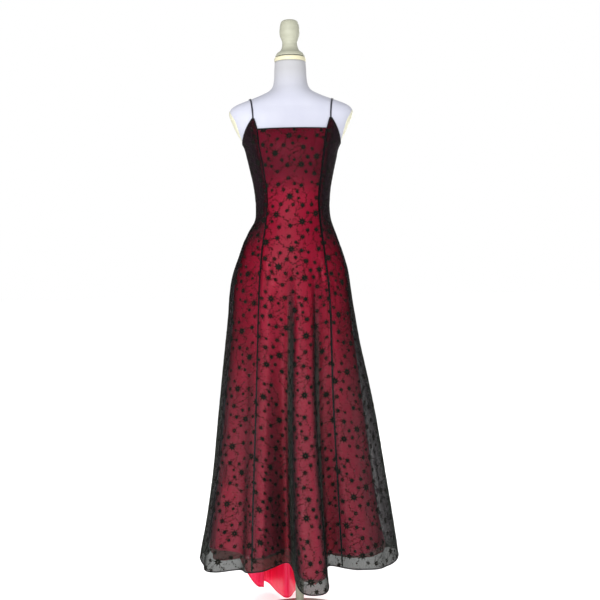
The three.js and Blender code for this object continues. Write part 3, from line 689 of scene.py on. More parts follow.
def tube(name, path, outward, width, height, material, sides=10, closed=False, box=1.0):
    """A round or flattened tube along a path in mm. A box below 1 squares its section."""
    if closed:
        along = np.roll(path, -1, axis=0) - np.roll(path, 1, axis=0)
    else:
        along = np.gradient(path, axis=0)
    along /= np.linalg.norm(along, axis=1, keepdims=True)
    aside = np.cross(along, outward)
    aside /= np.linalg.norm(aside, axis=1, keepdims=True)
    out = np.cross(aside, along)
    turn = np.linspace(0, 2 * math.pi, sides, endpoint=False)
    wide = np.sign(np.cos(turn)) * np.abs(np.cos(turn)) ** box * width / 2
    high = np.sign(np.sin(turn)) * np.abs(np.sin(turn)) ** box * height / 2
    rings = path[:, None] + aside[:, None] * wide[None, :, None] + out[:, None] * high[None, :, None]
    steps = np.linalg.norm(np.diff(path, axis=0), axis=1)
    run = np.concatenate([[0], np.cumsum(steps)])
    uvs = np.stack(np.broadcast_arrays(turn[None, :] * width / 2, run[:, None]), axis=-1).reshape(-1, 2)
    join = ring_faces if closed else capped_faces
    return new_object(name, rings.reshape(-1, 3), join(len(path), sides), material, uvs)


def seam_strip(name, u, width):
    """The seam allowance that shows through the net as a dark band, as wide as width says."""
    inward = -1e-4 if u == 0.5 else 1e-4  # off the corner where the neckline begins to rise
    z = rows_down(float(top_edge(u + inward)) - 3, float(hem_edge(OVERLAY, u)) + 2, SEAM_ROWS)
    half = np.interp(-z, [-height for height, _ in width], [half_width for _, half_width in width])
    across = np.linspace(-1, 1, 5)
    places = beside(OVERLAY, np.full(z.shape, float(u)), z, half * across)
    z = np.broadcast_to(z, places.shape)
    normal = normal_on(OVERLAY, places, z)
    outer = point_on(OVERLAY, places, z) - normal * SEAM_DEPTH
    flat = np.stack([np.broadcast_to(3 * across, z.shape), STRAP_POINT - z], axis=-1)
    return mark(shell(name, outer, outer - normal * SEAM_WALL, seam_net, flat), "net")


def hem_roll(name, layer, size, material, slot):
    """The rolled edge round a layer's hem."""
    u = np.linspace(-3, 3, ROLL_STEPS, endpoint=False)
    z = hem_edge(layer, u)
    path = point_on(layer, u, z, ROLL_LIFT)
    roll = tube(name, path, normal_on(layer, u, z), *size, material, sides=8, closed=True)
    return mark(roll, slot)


def top_binding():
    """The narrow bound edge round the neckline, strap points, armholes and back."""
    corners = [0, 0.5, STRAP_INNER, STRAP_OUTER, 1.5, 3]
    half = np.concatenate([
        np.linspace(a, b, max(4, int((b - a) / BINDING_STEP)), endpoint=False)
        for a, b in zip(corners, corners[1:])
    ])
    u = np.concatenate([half, [3], -half[:0:-1]])
    z = top_edge(u)
    path = point_on(OVERLAY, u, z, BINDING_LIFT)
    binding = tube("top_binding", path, normal_on(OVERLAY, u, z), *BINDING, seam_net, sides=8, closed=True)
    return mark(binding, "net")


def shoulder_point(x, turn):
    """The form's surface at x, in a direction from the shoulder's core."""
    near, far = np.zeros_like(x), np.full_like(x, SHOULDER_REACH)
    for _ in range(HALVINGS):
        reach = (near + far) / 2
        y, z = SHOULDER_CORE[0] - reach * np.cos(turn), SHOULDER_CORE[1] + reach * np.sin(turn)
        square = at(FORM, "square", z)
        deep = np.where(y < 0, at(FORM, "front", z), at(FORM, "back", z))
        inside = (np.abs(x) / at(FORM, "width", z)) ** square + (np.abs(y) / deep) ** square < 1
        near, far = np.where(inside, reach, near), np.where(inside, far, reach)
    y, z = SHOULDER_CORE[0] - near * np.cos(turn), SHOULDER_CORE[1] + near * np.sin(turn)
    return np.stack([x, y, z], axis=-1)


def shoulder_turn(x, height, behind):
    """The direction from the core at which the form's surface is at a height."""
    low, high = (math.pi * share for share in (SHOULDER_BEHIND if behind else SHOULDER_FRONT))
    for _ in range(HALVINGS):
        middle = (low + high) / 2
        above = shoulder_point(np.array([float(x)]), np.array([middle]))[0, 2] > height
        if above == behind:
            low = middle
        else:
            high = middle
    return (low + high) / 2


def make_strap(name, side):
    """A narrow turned strap from the strap point over the shoulder to the back neckline."""
    front, crest, back = STRAP_X[side]
    start = shoulder_turn(side * front, STRAP_POINT - 5, False)
    end = shoulder_turn(side * back, float(top_edge(STRAP_BACK)) - 4, True)
    share = np.linspace(0, 1, 90)
    reached, left = STRAP_CREST
    x = front + (crest - front) * smooth_step(0, reached, share)
    x = x + (back - crest) * smooth_step(left, 1, share)
    turn = start + (end - start) * share
    path = shoulder_point(side * x, turn)
    dx, dt = 2, 0.02
    along = shoulder_point(side * x, turn + dt) - shoulder_point(side * x, turn - dt)
    over = shoulder_point(side * x + dx, turn) - shoulder_point(side * x - dx, turn)
    out = np.cross(over, along)
    out /= np.linalg.norm(out, axis=1, keepdims=True)
    path += out * (STRAP_CLEARANCE + STRAP_WALL / 2)
    strap = tube(name, path, out, STRAP_WIDTH, STRAP_WALL, strap_satin, sides=14, box=0.6)
    return mark(strap, "strap", "strap_" + ("left" if side < 0 else "right"))


# Colours of the cloths, paints and threads
# The net's colours are paler on the skirt and darker on the bodice, painted light and shade by height
NET_SKIRT = (0.1, 0.08, 0.095)
NET_SKIRT_PALE = (0.17, 0.15, 0.165)
NET_BODICE = (0.05, 0.02, 0.032)
NET_DOUBLED_AND_SHADED_SKIRT = (0.045, 0.05, 0.045)
NET_DOUBLED_AND_SHADED_BODICE = (0.011, 0.005, 0.008)
SATIN_DEEP = (0.82, 0.004, 0.05)
SATIN_BRIGHT = (0.96, 0.01, 0.085)
SATIN_SHEEN_STREAK = (1.0, 0.03, 0.14)
JERSEY_DULL = (0.47, 0.48, 0.57)
JERSEY_CLEAN = (0.53, 0.54, 0.62)
JERSEY_NECK_SHADE = (0.41, 0.41, 0.43)
CAP_PAINT = ((0.41, 0.415, 0.33), (0.35, 0.35, 0.27), (0.27, 0.24, 0.15))  # pale, deep and worn
RING_PAINT = ((0.68, 0.64, 0.45), (0.6, 0.56, 0.38), (0.36, 0.3, 0.16))
PLATE_PAINT = ((0.66, 0.65, 0.5), (0.6, 0.58, 0.43), (0.45, 0.4, 0.24))
FLOCK_DENSE = (0.002, 0.002, 0.002)
FLOCK_THIN = (0.014, 0.013, 0.01)
NET_FOLDED = ((0.006, 0.005, 0.006), (0.02, 0.018, 0.02))  # dark and light
THREAD_BLACK = ((0.006, 0.006, 0.008), (0.03, 0.03, 0.035))
THREAD_CRIMSON = ((0.5, 0.004, 0.03), (0.8, 0.02, 0.07))
STRAP_DARK = (0.008, 0.008, 0.014)
STRAP_GLOSS = (0.03, 0.029, 0.045)
ENAMEL = (0.012, 0.012, 0.014)
BARE_METAL = (0.2, 0.2, 0.21)
NET_SHADE_HEIGHTS = (0.7, 1.25)  # heights in metres over which the net turns from the skirt's paler tone to the bodice's darker one, painted light and shade by height
TAIL_SHEEN = (0.2, 0.4)  # heights over which the satin's painted sheen streaks grow fainter, so they are strongest on the tail
NECK_SHADE_HEIGHTS = (1.58, 1.66)
NET_DENSITY = 1550  # how fast the net's black wall takes up light, for each metre


# Materials
def surface(name, **values):
    """A Principled material with some of its sockets set. An underscore stands for a space."""
    made = bpy.data.materials.new(name)
    made.use_nodes = True
    shader = made.node_tree.nodes["Principled BSDF"]
    for socket, value in values.items():
        shader.inputs[socket.replace("_", " ")].default_value = value
    return made


def geometry_tree(name, inputs):
    """A Geometry Nodes tree with named inputs, each a label, a socket type and a default value."""
    tree = bpy.data.node_groups.new(name, "GeometryNodeTree")
    tree.interface.new_socket("Geometry", in_out="INPUT", socket_type="NodeSocketGeometry")
    tree.interface.new_socket("Geometry", in_out="OUTPUT", socket_type="NodeSocketGeometry")
    for label, kind, value in inputs:
        socket = tree.interface.new_socket(label, in_out="INPUT", socket_type=kind)
        if value is not None:
            socket.default_value = value
    return tree, tree.nodes.new("NodeGroupInput"), tree.nodes.new("NodeGroupOutput")


def maths(tree, operation, first, second):
    """A Math node's output, from two values that are each a number or an output."""
    node = tree.nodes.new("ShaderNodeMath")
    node.operation = operation
    for socket, value in zip(node.inputs, (first, second)):
        if isinstance(value, (int, float)):
            socket.default_value = value
        else:
            tree.links.new(value, socket)
    return node.outputs[0]


def node_group(name, inputs, output):
    """A shader node group that gives a number. An input is a label and a number, or None for a vector."""
    tree = bpy.data.node_groups.new(name, "ShaderNodeTree")
    for label, value in inputs:
        kind = "NodeSocketVector" if value is None else "NodeSocketFloat"
        socket = tree.interface.new_socket(label, in_out="INPUT", socket_type=kind)
        if value is not None:
            socket.default_value = value
    tree.interface.new_socket(output, in_out="OUTPUT", socket_type="NodeSocketFloat")
    return tree, tree.nodes.new("NodeGroupInput"), tree.nodes.new("NodeGroupOutput")


def woven_threads():
    """Height of crossing threads on a flat cloth in metres, from the number of threads to a metre."""
    inputs = [("Vector", None), ("Across", 900.0), ("Along", 900.0)]
    tree, given, out = node_group("woven_threads", inputs, "Height")
    split = tree.nodes.new("ShaderNodeSeparateXYZ")
    tree.links.new(given.outputs["Vector"], split.inputs["Vector"])
    ribs = []
    for axis, count in (("X", "Across"), ("Y", "Along")):
        threads = maths(tree, "MULTIPLY", split.outputs[axis], given.outputs[count])
        wave = maths(tree, "SINE", maths(tree, "MULTIPLY", threads, 2 * math.pi), 0)
        ribs.append(maths(tree, "ABSOLUTE", wave, 0))
    tree.links.new(maths(tree, "MAXIMUM", *ribs), out.inputs["Height"])
    return tree


def long_streaks():
    """Soft uneven streaks: a value from 0 to 1, with the streaks drawn out by the scale's shorter axes."""
    inputs = [("Vector", None), ("Scale", None), ("Contrast", 1.0)]
    tree, given, out = node_group("long_streaks", inputs, "Value")
    stretch = tree.nodes.new("ShaderNodeVectorMath")
    stretch.operation = "MULTIPLY"
    tree.links.new(given.outputs["Vector"], stretch.inputs[0])
    tree.links.new(given.outputs["Scale"], stretch.inputs[1])
    noise = tree.nodes.new("ShaderNodeTexNoise")
    noise.inputs["Scale"].default_value = 1
    noise.inputs["Detail"].default_value = 3
    tree.links.new(stretch.outputs["Vector"], noise.inputs["Vector"])
    centred = maths(tree, "SUBTRACT", noise.outputs["Fac"], 0.5)
    spread = maths(tree, "MULTIPLY", centred, given.outputs["Contrast"])
    clamp = tree.nodes.new("ShaderNodeClamp")
    tree.links.new(maths(tree, "ADD", spread, 0.5), clamp.inputs["Value"])
    tree.links.new(clamp.outputs["Result"], out.inputs["Value"])
    return tree


def paint_wear():
    """Where paint is rubbed through: a mask of small uneven patches, more of them as Amount rises."""
    tree, given, out = node_group("paint_wear", [("Vector", None), ("Amount", 0.3)], "Mask")
    noise = tree.nodes.new("ShaderNodeTexNoise")
    noise.inputs["Scale"].default_value = 55
    noise.inputs["Detail"].default_value = 6
    noise.inputs["Roughness"].default_value = 0.7
    tree.links.new(given.outputs["Vector"], noise.inputs["Vector"])
    least, drop, softness = 0.78, 0.3, 0.05
    edge = maths(tree, "SUBTRACT", least, maths(tree, "MULTIPLY", given.outputs["Amount"], drop))
    band = tree.nodes.new("ShaderNodeMapRange")
    tree.links.new(noise.outputs["Fac"], band.inputs["Value"])
    tree.links.new(edge, band.inputs["From Min"])
    tree.links.new(maths(tree, "ADD", edge, softness), band.inputs["From Max"])
    tree.links.new(band.outputs["Result"], out.inputs["Mask"])
    return tree


class Finish:
    """Builds one material's nodes: places, groups, mixes and the relief."""

    def __init__(self, name, **values):
        self.material = surface(name, **values)
        self.tree = self.material.node_tree
        self.shader = self.tree.nodes["Principled BSDF"]

    @cached_property
    def place(self):
        """Object coordinates, in metres."""
        return self.tree.nodes.new("ShaderNodeTexCoord").outputs["Object"]

    @cached_property
    def cloth(self):
        """The place on the flat cloth, in metres."""
        uv = self.tree.nodes.new("ShaderNodeUVMap")
        uv.uv_map = "cloth"
        return uv.outputs["UV"]

    def group(self, tree, place, **values):
        """The output of a node group at a place, with its other inputs set."""
        node = self.tree.nodes.new("ShaderNodeGroup")
        node.node_tree = tree
        self.tree.links.new(place, node.inputs["Vector"])
        for label, value in values.items():
            node.inputs[label].default_value = value
        return node.outputs[0]

    def blend(self, share, first, second):
        """A colour between two, each a colour or an output."""
        mix = self.tree.nodes.new("ShaderNodeMix")
        mix.data_type = "RGBA"
        self.tree.links.new(share, mix.inputs["Factor"])
        for label, value in (("A", first), ("B", second)):
            socket = next(s for s in mix.inputs if s.name == label and s.type == "RGBA")
            if isinstance(value, tuple):
                socket.default_value = (*value, 1)
            else:
                self.tree.links.new(value, socket)
        return next(s for s in mix.outputs if s.type == "RGBA")

    def ramp(self, value, low, high, start=0.0, end=1.0):
        """value from low..high brought to start..end."""
        node = self.tree.nodes.new("ShaderNodeMapRange")
        self.tree.links.new(value, node.inputs["Value"])
        for label, number in (("From Min", low), ("From Max", high), ("To Min", start), ("To Max", end)):
            node.inputs[label].default_value = number
        return node.outputs["Result"]

    def axis(self, name):
        """One of the Object coordinates."""
        split = self.tree.nodes.new("ShaderNodeSeparateXYZ")
        self.tree.links.new(self.place, split.inputs["Vector"])
        return split.outputs[name]

    def attribute(self, name):
        """A value that the piece's points hold."""
        node = self.tree.nodes.new("ShaderNodeAttribute")
        node.attribute_name = name
        return node.outputs["Fac"]

    def set(self, socket, output):
        """Feeds a socket of the Principled shader."""
        self.tree.links.new(output, self.shader.inputs[socket])

    def relief(self, *layers):
        """Bump from layers of height, strength and depth in metres, one on the next."""
        normal = None
        for height, strength, distance in layers:
            bump = self.tree.nodes.new("ShaderNodeBump")
            bump.inputs["Strength"].default_value = strength
            bump.inputs["Distance"].default_value = distance
            self.tree.links.new(height, bump.inputs["Height"])
            if normal is not None:
                self.tree.links.new(normal, bump.inputs["Normal"])
            normal = bump.outputs["Normal"]
        self.set("Normal", normal)


WEAVE, STREAKS, WEAR = woven_threads(), long_streaks(), paint_wear()


def net_finish():
    """Fine black net: what it lets through falls with its thickness along the line of sight. Its points'
    second layer at the hem and its painted shade make it more opaque and darker, and by height it is paler
    on the skirt and darker on the bodice as painted light and shade.
    """
    finish = Finish("black_net", Roughness=0.85, Specular_IOR_Level=0.1)
    doubled_and_shade = finish.attribute("doubled_and_shade")
    finish.set("Alpha", finish.ramp(doubled_and_shade, 0, 1, 0.04, 0.8))
    # painted light and shade: the net is paler on the skirt and darker on the bodice
    height = finish.ramp(finish.axis("Z"), *NET_SHADE_HEIGHTS)
    mottle = finish.group(STREAKS, finish.cloth, Scale=(30, 12, 1), Contrast=1.2)
    skirt = finish.blend(mottle, NET_SKIRT, NET_SKIRT_PALE)
    single = finish.blend(height, skirt, NET_BODICE)
    darker_net = finish.blend(height, NET_DOUBLED_AND_SHADED_SKIRT, NET_DOUBLED_AND_SHADED_BODICE)
    finish.set("Base Color", finish.blend(finish.ramp(doubled_and_shade, 0, 0.5), single, darker_net))
    finish.relief((finish.group(WEAVE, finish.cloth, Across=450.0, Along=450.0), 0.3, 0.0003))
    absorb = finish.tree.nodes.new("ShaderNodeVolumeAbsorption")
    absorb.inputs["Color"].default_value = (0, 0, 0, 1)
    absorb.inputs["Density"].default_value = NET_DENSITY
    output = finish.tree.nodes["Material Output"]
    finish.tree.links.new(absorb.outputs["Volume"], output.inputs["Volume"])
    return finish.material


def satin_finish():
    """Crimson lining satin with fine streaks down the cloth, in its roughness and relief, and as painted
    sheen in its colour, strongest on the tail.
    """
    finish = Finish("crimson_satin", Specular_IOR_Level=0.35, Anisotropic=0.4)
    fine = finish.group(STREAKS, finish.cloth, Scale=(170, 3, 1), Contrast=3.0)
    broad = finish.group(STREAKS, finish.cloth, Scale=(26, 2.5, 1), Contrast=1.5)
    deep = finish.blend(broad, SATIN_DEEP, SATIN_BRIGHT)
    # painted sheen: bright streaks in the colour, strongest low on the tail
    sheen_by_height = finish.ramp(finish.axis("Z"), *TAIL_SHEEN, 1, 0.25)
    sheen_streaks = maths(finish.tree, "MULTIPLY", finish.ramp(fine, 0.4, 1.0, 0, 0.8), sheen_by_height)
    finish.set("Base Color", finish.blend(sheen_streaks, deep, SATIN_SHEEN_STREAK))
    finish.set("Roughness", finish.ramp(fine, 0, 1, 0.34, 0.5))
    weave = finish.group(WEAVE, finish.cloth, Across=700.0, Along=350.0)
    ripple = finish.group(STREAKS, finish.cloth, Scale=(34, 9, 1), Contrast=1.0)
    finish.relief((ripple, 0.35, 0.0015), (fine, 0.2, 0.0004), (weave, 0.12, 0.0002))
    return finish.material


def jersey_finish():
    """White knit jersey: close ribs round the form, a little uneven, with painted shade darkening the neck.
    """
    finish = Finish("white_jersey", Roughness=0.9, Specular_IOR_Level=0.2, Sheen_Weight=0.15)
    mottle = finish.group(STREAKS, finish.place, Scale=(14, 14, 9), Contrast=1.6)
    body = finish.blend(mottle, JERSEY_DULL, JERSEY_CLEAN)
    # painted shade: the jersey is darker up the neck
    finish.set("Base Color", finish.blend(finish.ramp(finish.axis("Z"), *NECK_SHADE_HEIGHTS), body, JERSEY_NECK_SHADE))
    knit = finish.group(WEAVE, finish.place, Across=380.0, Along=0.0)
    rows = finish.group(STREAKS, finish.place, Scale=(60, 60, 520), Contrast=1.4)
    finish.relief((rows, 0.25, 0.0005), (knit, 0.1, 0.0003))
    return finish.material


def painted_finish(name, pale, deep, worn):
    """Painted turned wood: brush streaks, a hint of grain and paint rubbed through in small patches."""
    finish = Finish(name, Specular_IOR_Level=0.4)
    brushed = finish.group(STREAKS, finish.place, Scale=(22, 22, 160), Contrast=1.6)
    patch = finish.group(WEAR, finish.place, Amount=0.35)
    finish.set("Base Color", finish.blend(patch, finish.blend(brushed, pale, deep), worn))
    finish.set("Roughness", finish.ramp(brushed, 0, 1, 0.38, 0.6))
    finish.relief((brushed, 0.2, 0.0006), (patch, 0.25, -0.0004))
    return finish.material


def flock_finish():
    """Black flock: a dull short pile, greyer where it is thin."""
    finish = Finish("black_flock", Roughness=1, Specular_IOR_Level=0.05)
    thin = finish.group(STREAKS, finish.place, Scale=(240, 240, 240), Contrast=2.4)
    finish.set("Base Color", finish.blend(thin, FLOCK_DENSE, FLOCK_THIN))
    finish.relief((thin, 0.5, 0.0006))
    return finish.material


def thread_finish(name, dark, light, rough, **values):
    """Twisted thread and narrow cloth: a fine slanted twist along its length."""
    finish = Finish(name, Roughness=rough, **values)
    twist = finish.group(STREAKS, finish.place, Scale=(700, 700, 500), Contrast=2.0)
    finish.set("Base Color", finish.blend(twist, dark, light))
    finish.relief((twist, 0.4, 0.0003))
    return finish.material


def strap_finish():
    """Blue-black strap satin with a faint gloss."""
    finish = Finish("strap_satin", Specular_IOR_Level=0.55)
    rib = finish.group(WEAVE, finish.cloth, Across=600.0, Along=900.0)
    tone = finish.group(STREAKS, finish.cloth, Scale=(300, 40, 1), Contrast=1.8)
    finish.set("Base Color", finish.blend(tone, STRAP_DARK, STRAP_GLOSS))
    finish.set("Roughness", finish.ramp(tone, 0, 1, 0.3, 0.5))
    finish.relief((rib, 0.25, 0.0002))
    return finish.material


def zip_finish():
    """Black enamelled zip metal, rubbed brighter in fine scratches."""
    finish = Finish("zip_metal", Specular_IOR_Level=0.5)
    scratch = finish.group(STREAKS, finish.place, Scale=(2400, 300, 900), Contrast=3.0)
    rubbed = finish.ramp(scratch, 0.75, 1.0)
    finish.set("Base Color", finish.blend(rubbed, ENAMEL, BARE_METAL))
    finish.set("Metallic", finish.ramp(rubbed, 0, 1, 0.55, 1))
    finish.set("Roughness", finish.ramp(scratch, 0, 1, 0.25, 0.5))
    finish.relief((scratch, 0.15, 0.0001))
    return finish.material


net = net_finish()
satin = satin_finish()
jersey = jersey_finish()
painted_wood = painted_finish("cream_painted_wood", *CAP_PAINT)
ring_wood = painted_finish("yellowed_ring", *RING_PAINT)
plate_paint = painted_finish("cream_arm_plate", *PLATE_PAINT)
strap_satin = strap_finish()
flock = flock_finish()
seam_net = thread_finish("seam_net", *NET_FOLDED, 0.9, Specular_IOR_Level=0.1)
black_thread = thread_finish("black_thread", *THREAD_BLACK, 0.6)
red_thread = thread_finish("crimson_thread", *THREAD_CRIMSON, 0.5)
zip_metal = zip_finish()


# Flocked pattern: one repeat, in mm across and down the flat cloth
REPEAT_WIDTH = 156
REPEAT_HEIGHT = 168
PANEL_SHIFT = (37, 59)  # of the pattern, from each panel to the next
FLOWERS = table(
    "s t radius petals hole turn",
    (22, 30, 14.9, 8, 0.07, 0.1),
    (98, 52, 13.7, 8, 0.09, 0.5),
    (58, 104, 14.4, 8, 0.03, 0.9),
    (132, 138, 13.9, 8, 0.08, 0.3),
    (58, 18, 10.1, 7, 0.04, 0.2),
    (132, 16, 9.4, 7, 0.11, 0.7),
    (20, 78, 10.6, 8, 0.03, 0.0),
    (84, 82, 9.1, 7, 0.13, 0.4),
    (140, 88, 10.8, 8, 0.08, 0.8),
    (24, 136, 9.8, 7, 0.03, 0.6),
    (92, 140, 10.3, 8, 0.09, 0.1),
    (62, 158, 8.6, 7, 0.12, 0.5),
    (128, 56, 9.4, 7, 0.03, 0.2),
    (48, 80, 8.2, 6, 0.13, 0.8),
    (92, 14, 8.6, 7, 0.10, 0.4),
    (152, 116, 9.1, 7, 0.04, 0.1),
    (76, 124, 7.9, 6, 0.14, 0.6),
    (8, 4, 8.9, 7, 0.10, 0.3),
    (112, 32, 7.4, 7, 0.04, 0.2),
    (4, 56, 7.7, 7, 0.1, 0.7),
    (110, 76, 7.2, 6, 0.04, 0.4),
    (36, 118, 7.4, 7, 0.11, 0.1),
    (148, 62, 6.7, 6, 0.04, 0.6),
    (44, 142, 7.0, 7, 0.1, 0.3),
    (112, 124, 6.7, 6, 0.04, 0.8),
    (146, 160, 7.0, 7, 0.11, 0.5),
    (32, 98, 6.5, 6, 0.04, 0.1),
    (66, 62, 7.2, 7, 0.1, 0.4),
    (42, 52, 4.2, 5, 0.16, 0.3),
    (112, 104, 4.2, 5, 0.16, 0.7),
    (76, 44, 3.7, 5, 0.16, 0.1),
    (8, 108, 3.7, 5, 0.16, 0.4),
    (112, 158, 4.0, 5, 0.16, 0.0),
)
VINES = table(
    "s t to_s to_t bend",
    (31, 26, 52, 18, -6),
    (28, 38, 42, 49, 5),
    (40, 56, 24, 72, -7),
    (62, 24, 75, 41, 6),
    (79, 46, 90, 50, -4),
    (102, 44, 130, 22, 9),
    (96, 61, 86, 76, 5),
    (79, 85, 64, 97, -5),
    (49, 102, 26, 82, 8),
    (52, 112, 28, 131, -8),
    (89, 84, 134, 88, 12),
    (135, 93, 115, 103, -5),
    (110, 107, 94, 134, 8),
    (98, 141, 123, 139, -7),
    (126, 145, 114, 155, 4),
    (88, 145, 66, 156, 6),
    (29, 140, 58, 156, -7),
    (134, 129, 141, 95, -8),
    (15, 83, 8, 105, 5),
    (10, 111, 20, 131, -5),
    (128, 11, 113, -7, -6),
    (13, 31, -12, 40, 7),
    (106, 55, 128, 66, -6),
    (36, 108, 40, 128, 7),
    (70, 62, 58, 78, 6),
    (148, 60, 134, 44, -6),
    (4, 8, 8, -12, 5),
    (74, 124, 78, 138, -4),
)
CURLS = table(
    "s t radius turn",
    (44, 36, 4.2, 0.2),
    (118, 38, 4.6, 2.4),
    (6, 56, 4.0, 4.0),
    (60, 62, 4.8, 1.2),
    (110, 80, 4.2, 5.2),
    (38, 94, 4.4, 3.1),
    (78, 118, 4.8, 0.7),
    (150, 112, 4.2, 1.9),
    (48, 142, 4.4, 4.6),
    (146, 156, 4.0, 3.5),
    (84, 22, 4.6, 5.8),
)
DOTS = table(
    "s t radius start sweep count",
    (112, 66, 13, 0.2, 1.9, 7),
    (44, 82, 12, 2.6, 1.8, 7),
    (104, 124, 11, 4.0, 2.0, 7),
    (8, 150, 13, 5.2, 1.7, 6),
    (84, 8, 11, 0.9, 1.9, 6),
    (146, 32, 10, 1.8, 2.0, 6),
    (30, 8, 10, 3.4, 1.8, 6),
    (126, 112, 9, 0.4, 2.2, 6),
)
SMALL_FLOWER = 5  # a flower of a smaller radius rises to one point
CLOSED_BELOW = 0.05  # a flower with a smaller hole has a flat middle
PETAL_NOTCH = 0.46  # how far out the notches between petals lie, as a share of the flower's radius
PETAL_CROWN = 0.55  # how far out the petals are highest
HOLE_HEIGHT = 0.2
VINE_HALF_WIDTH = 0.4
VINE_STEP = 5.0
VINE_SWAY = (0.5, 0.6)  # of one bend and of two, as shares of a vine's bend
RIBBON_TAPER = 0.6
LEAF_SPACING = 4.4
LEAF_LENGTH = 4.8
LEAF_HALF_WIDTH = 1.3
LEAF_MIDDLE = 0.45
LEAF_ANGLE = 0.9
CURL_SWEEP = 4.4
CURL_SHRINK = 0.62
DOT_SIDES = 5
DOT_RADIUS = 1.1
DOT_SIZES = (1.15, 0.3)  # of the first dot in an arc, and what the rest lose, as shares of the radius
CLUSTERS = 26  # loose clusters of dots in one repeat
CLUSTER_REACH = 9
CLUSTER_DOTS = (4, 8)
CLUSTER_RADII = (0.7, 1.6)
CLUSTER_CLEARANCE = 1.5  # from a flower to a loose dot
KEPT_SHARE = 0.25  # a shape with less of it inside the panel is left out
SEAM_MARGIN = 0.002  # of u, which the pattern keeps from a seam
EDGE_MARGIN = 1  # mm that it keeps from the top edge and the hem
FLOCK_LOW = 0.03  # height of the flock's underside and top over the net
FLOCK_TOP = 0.35


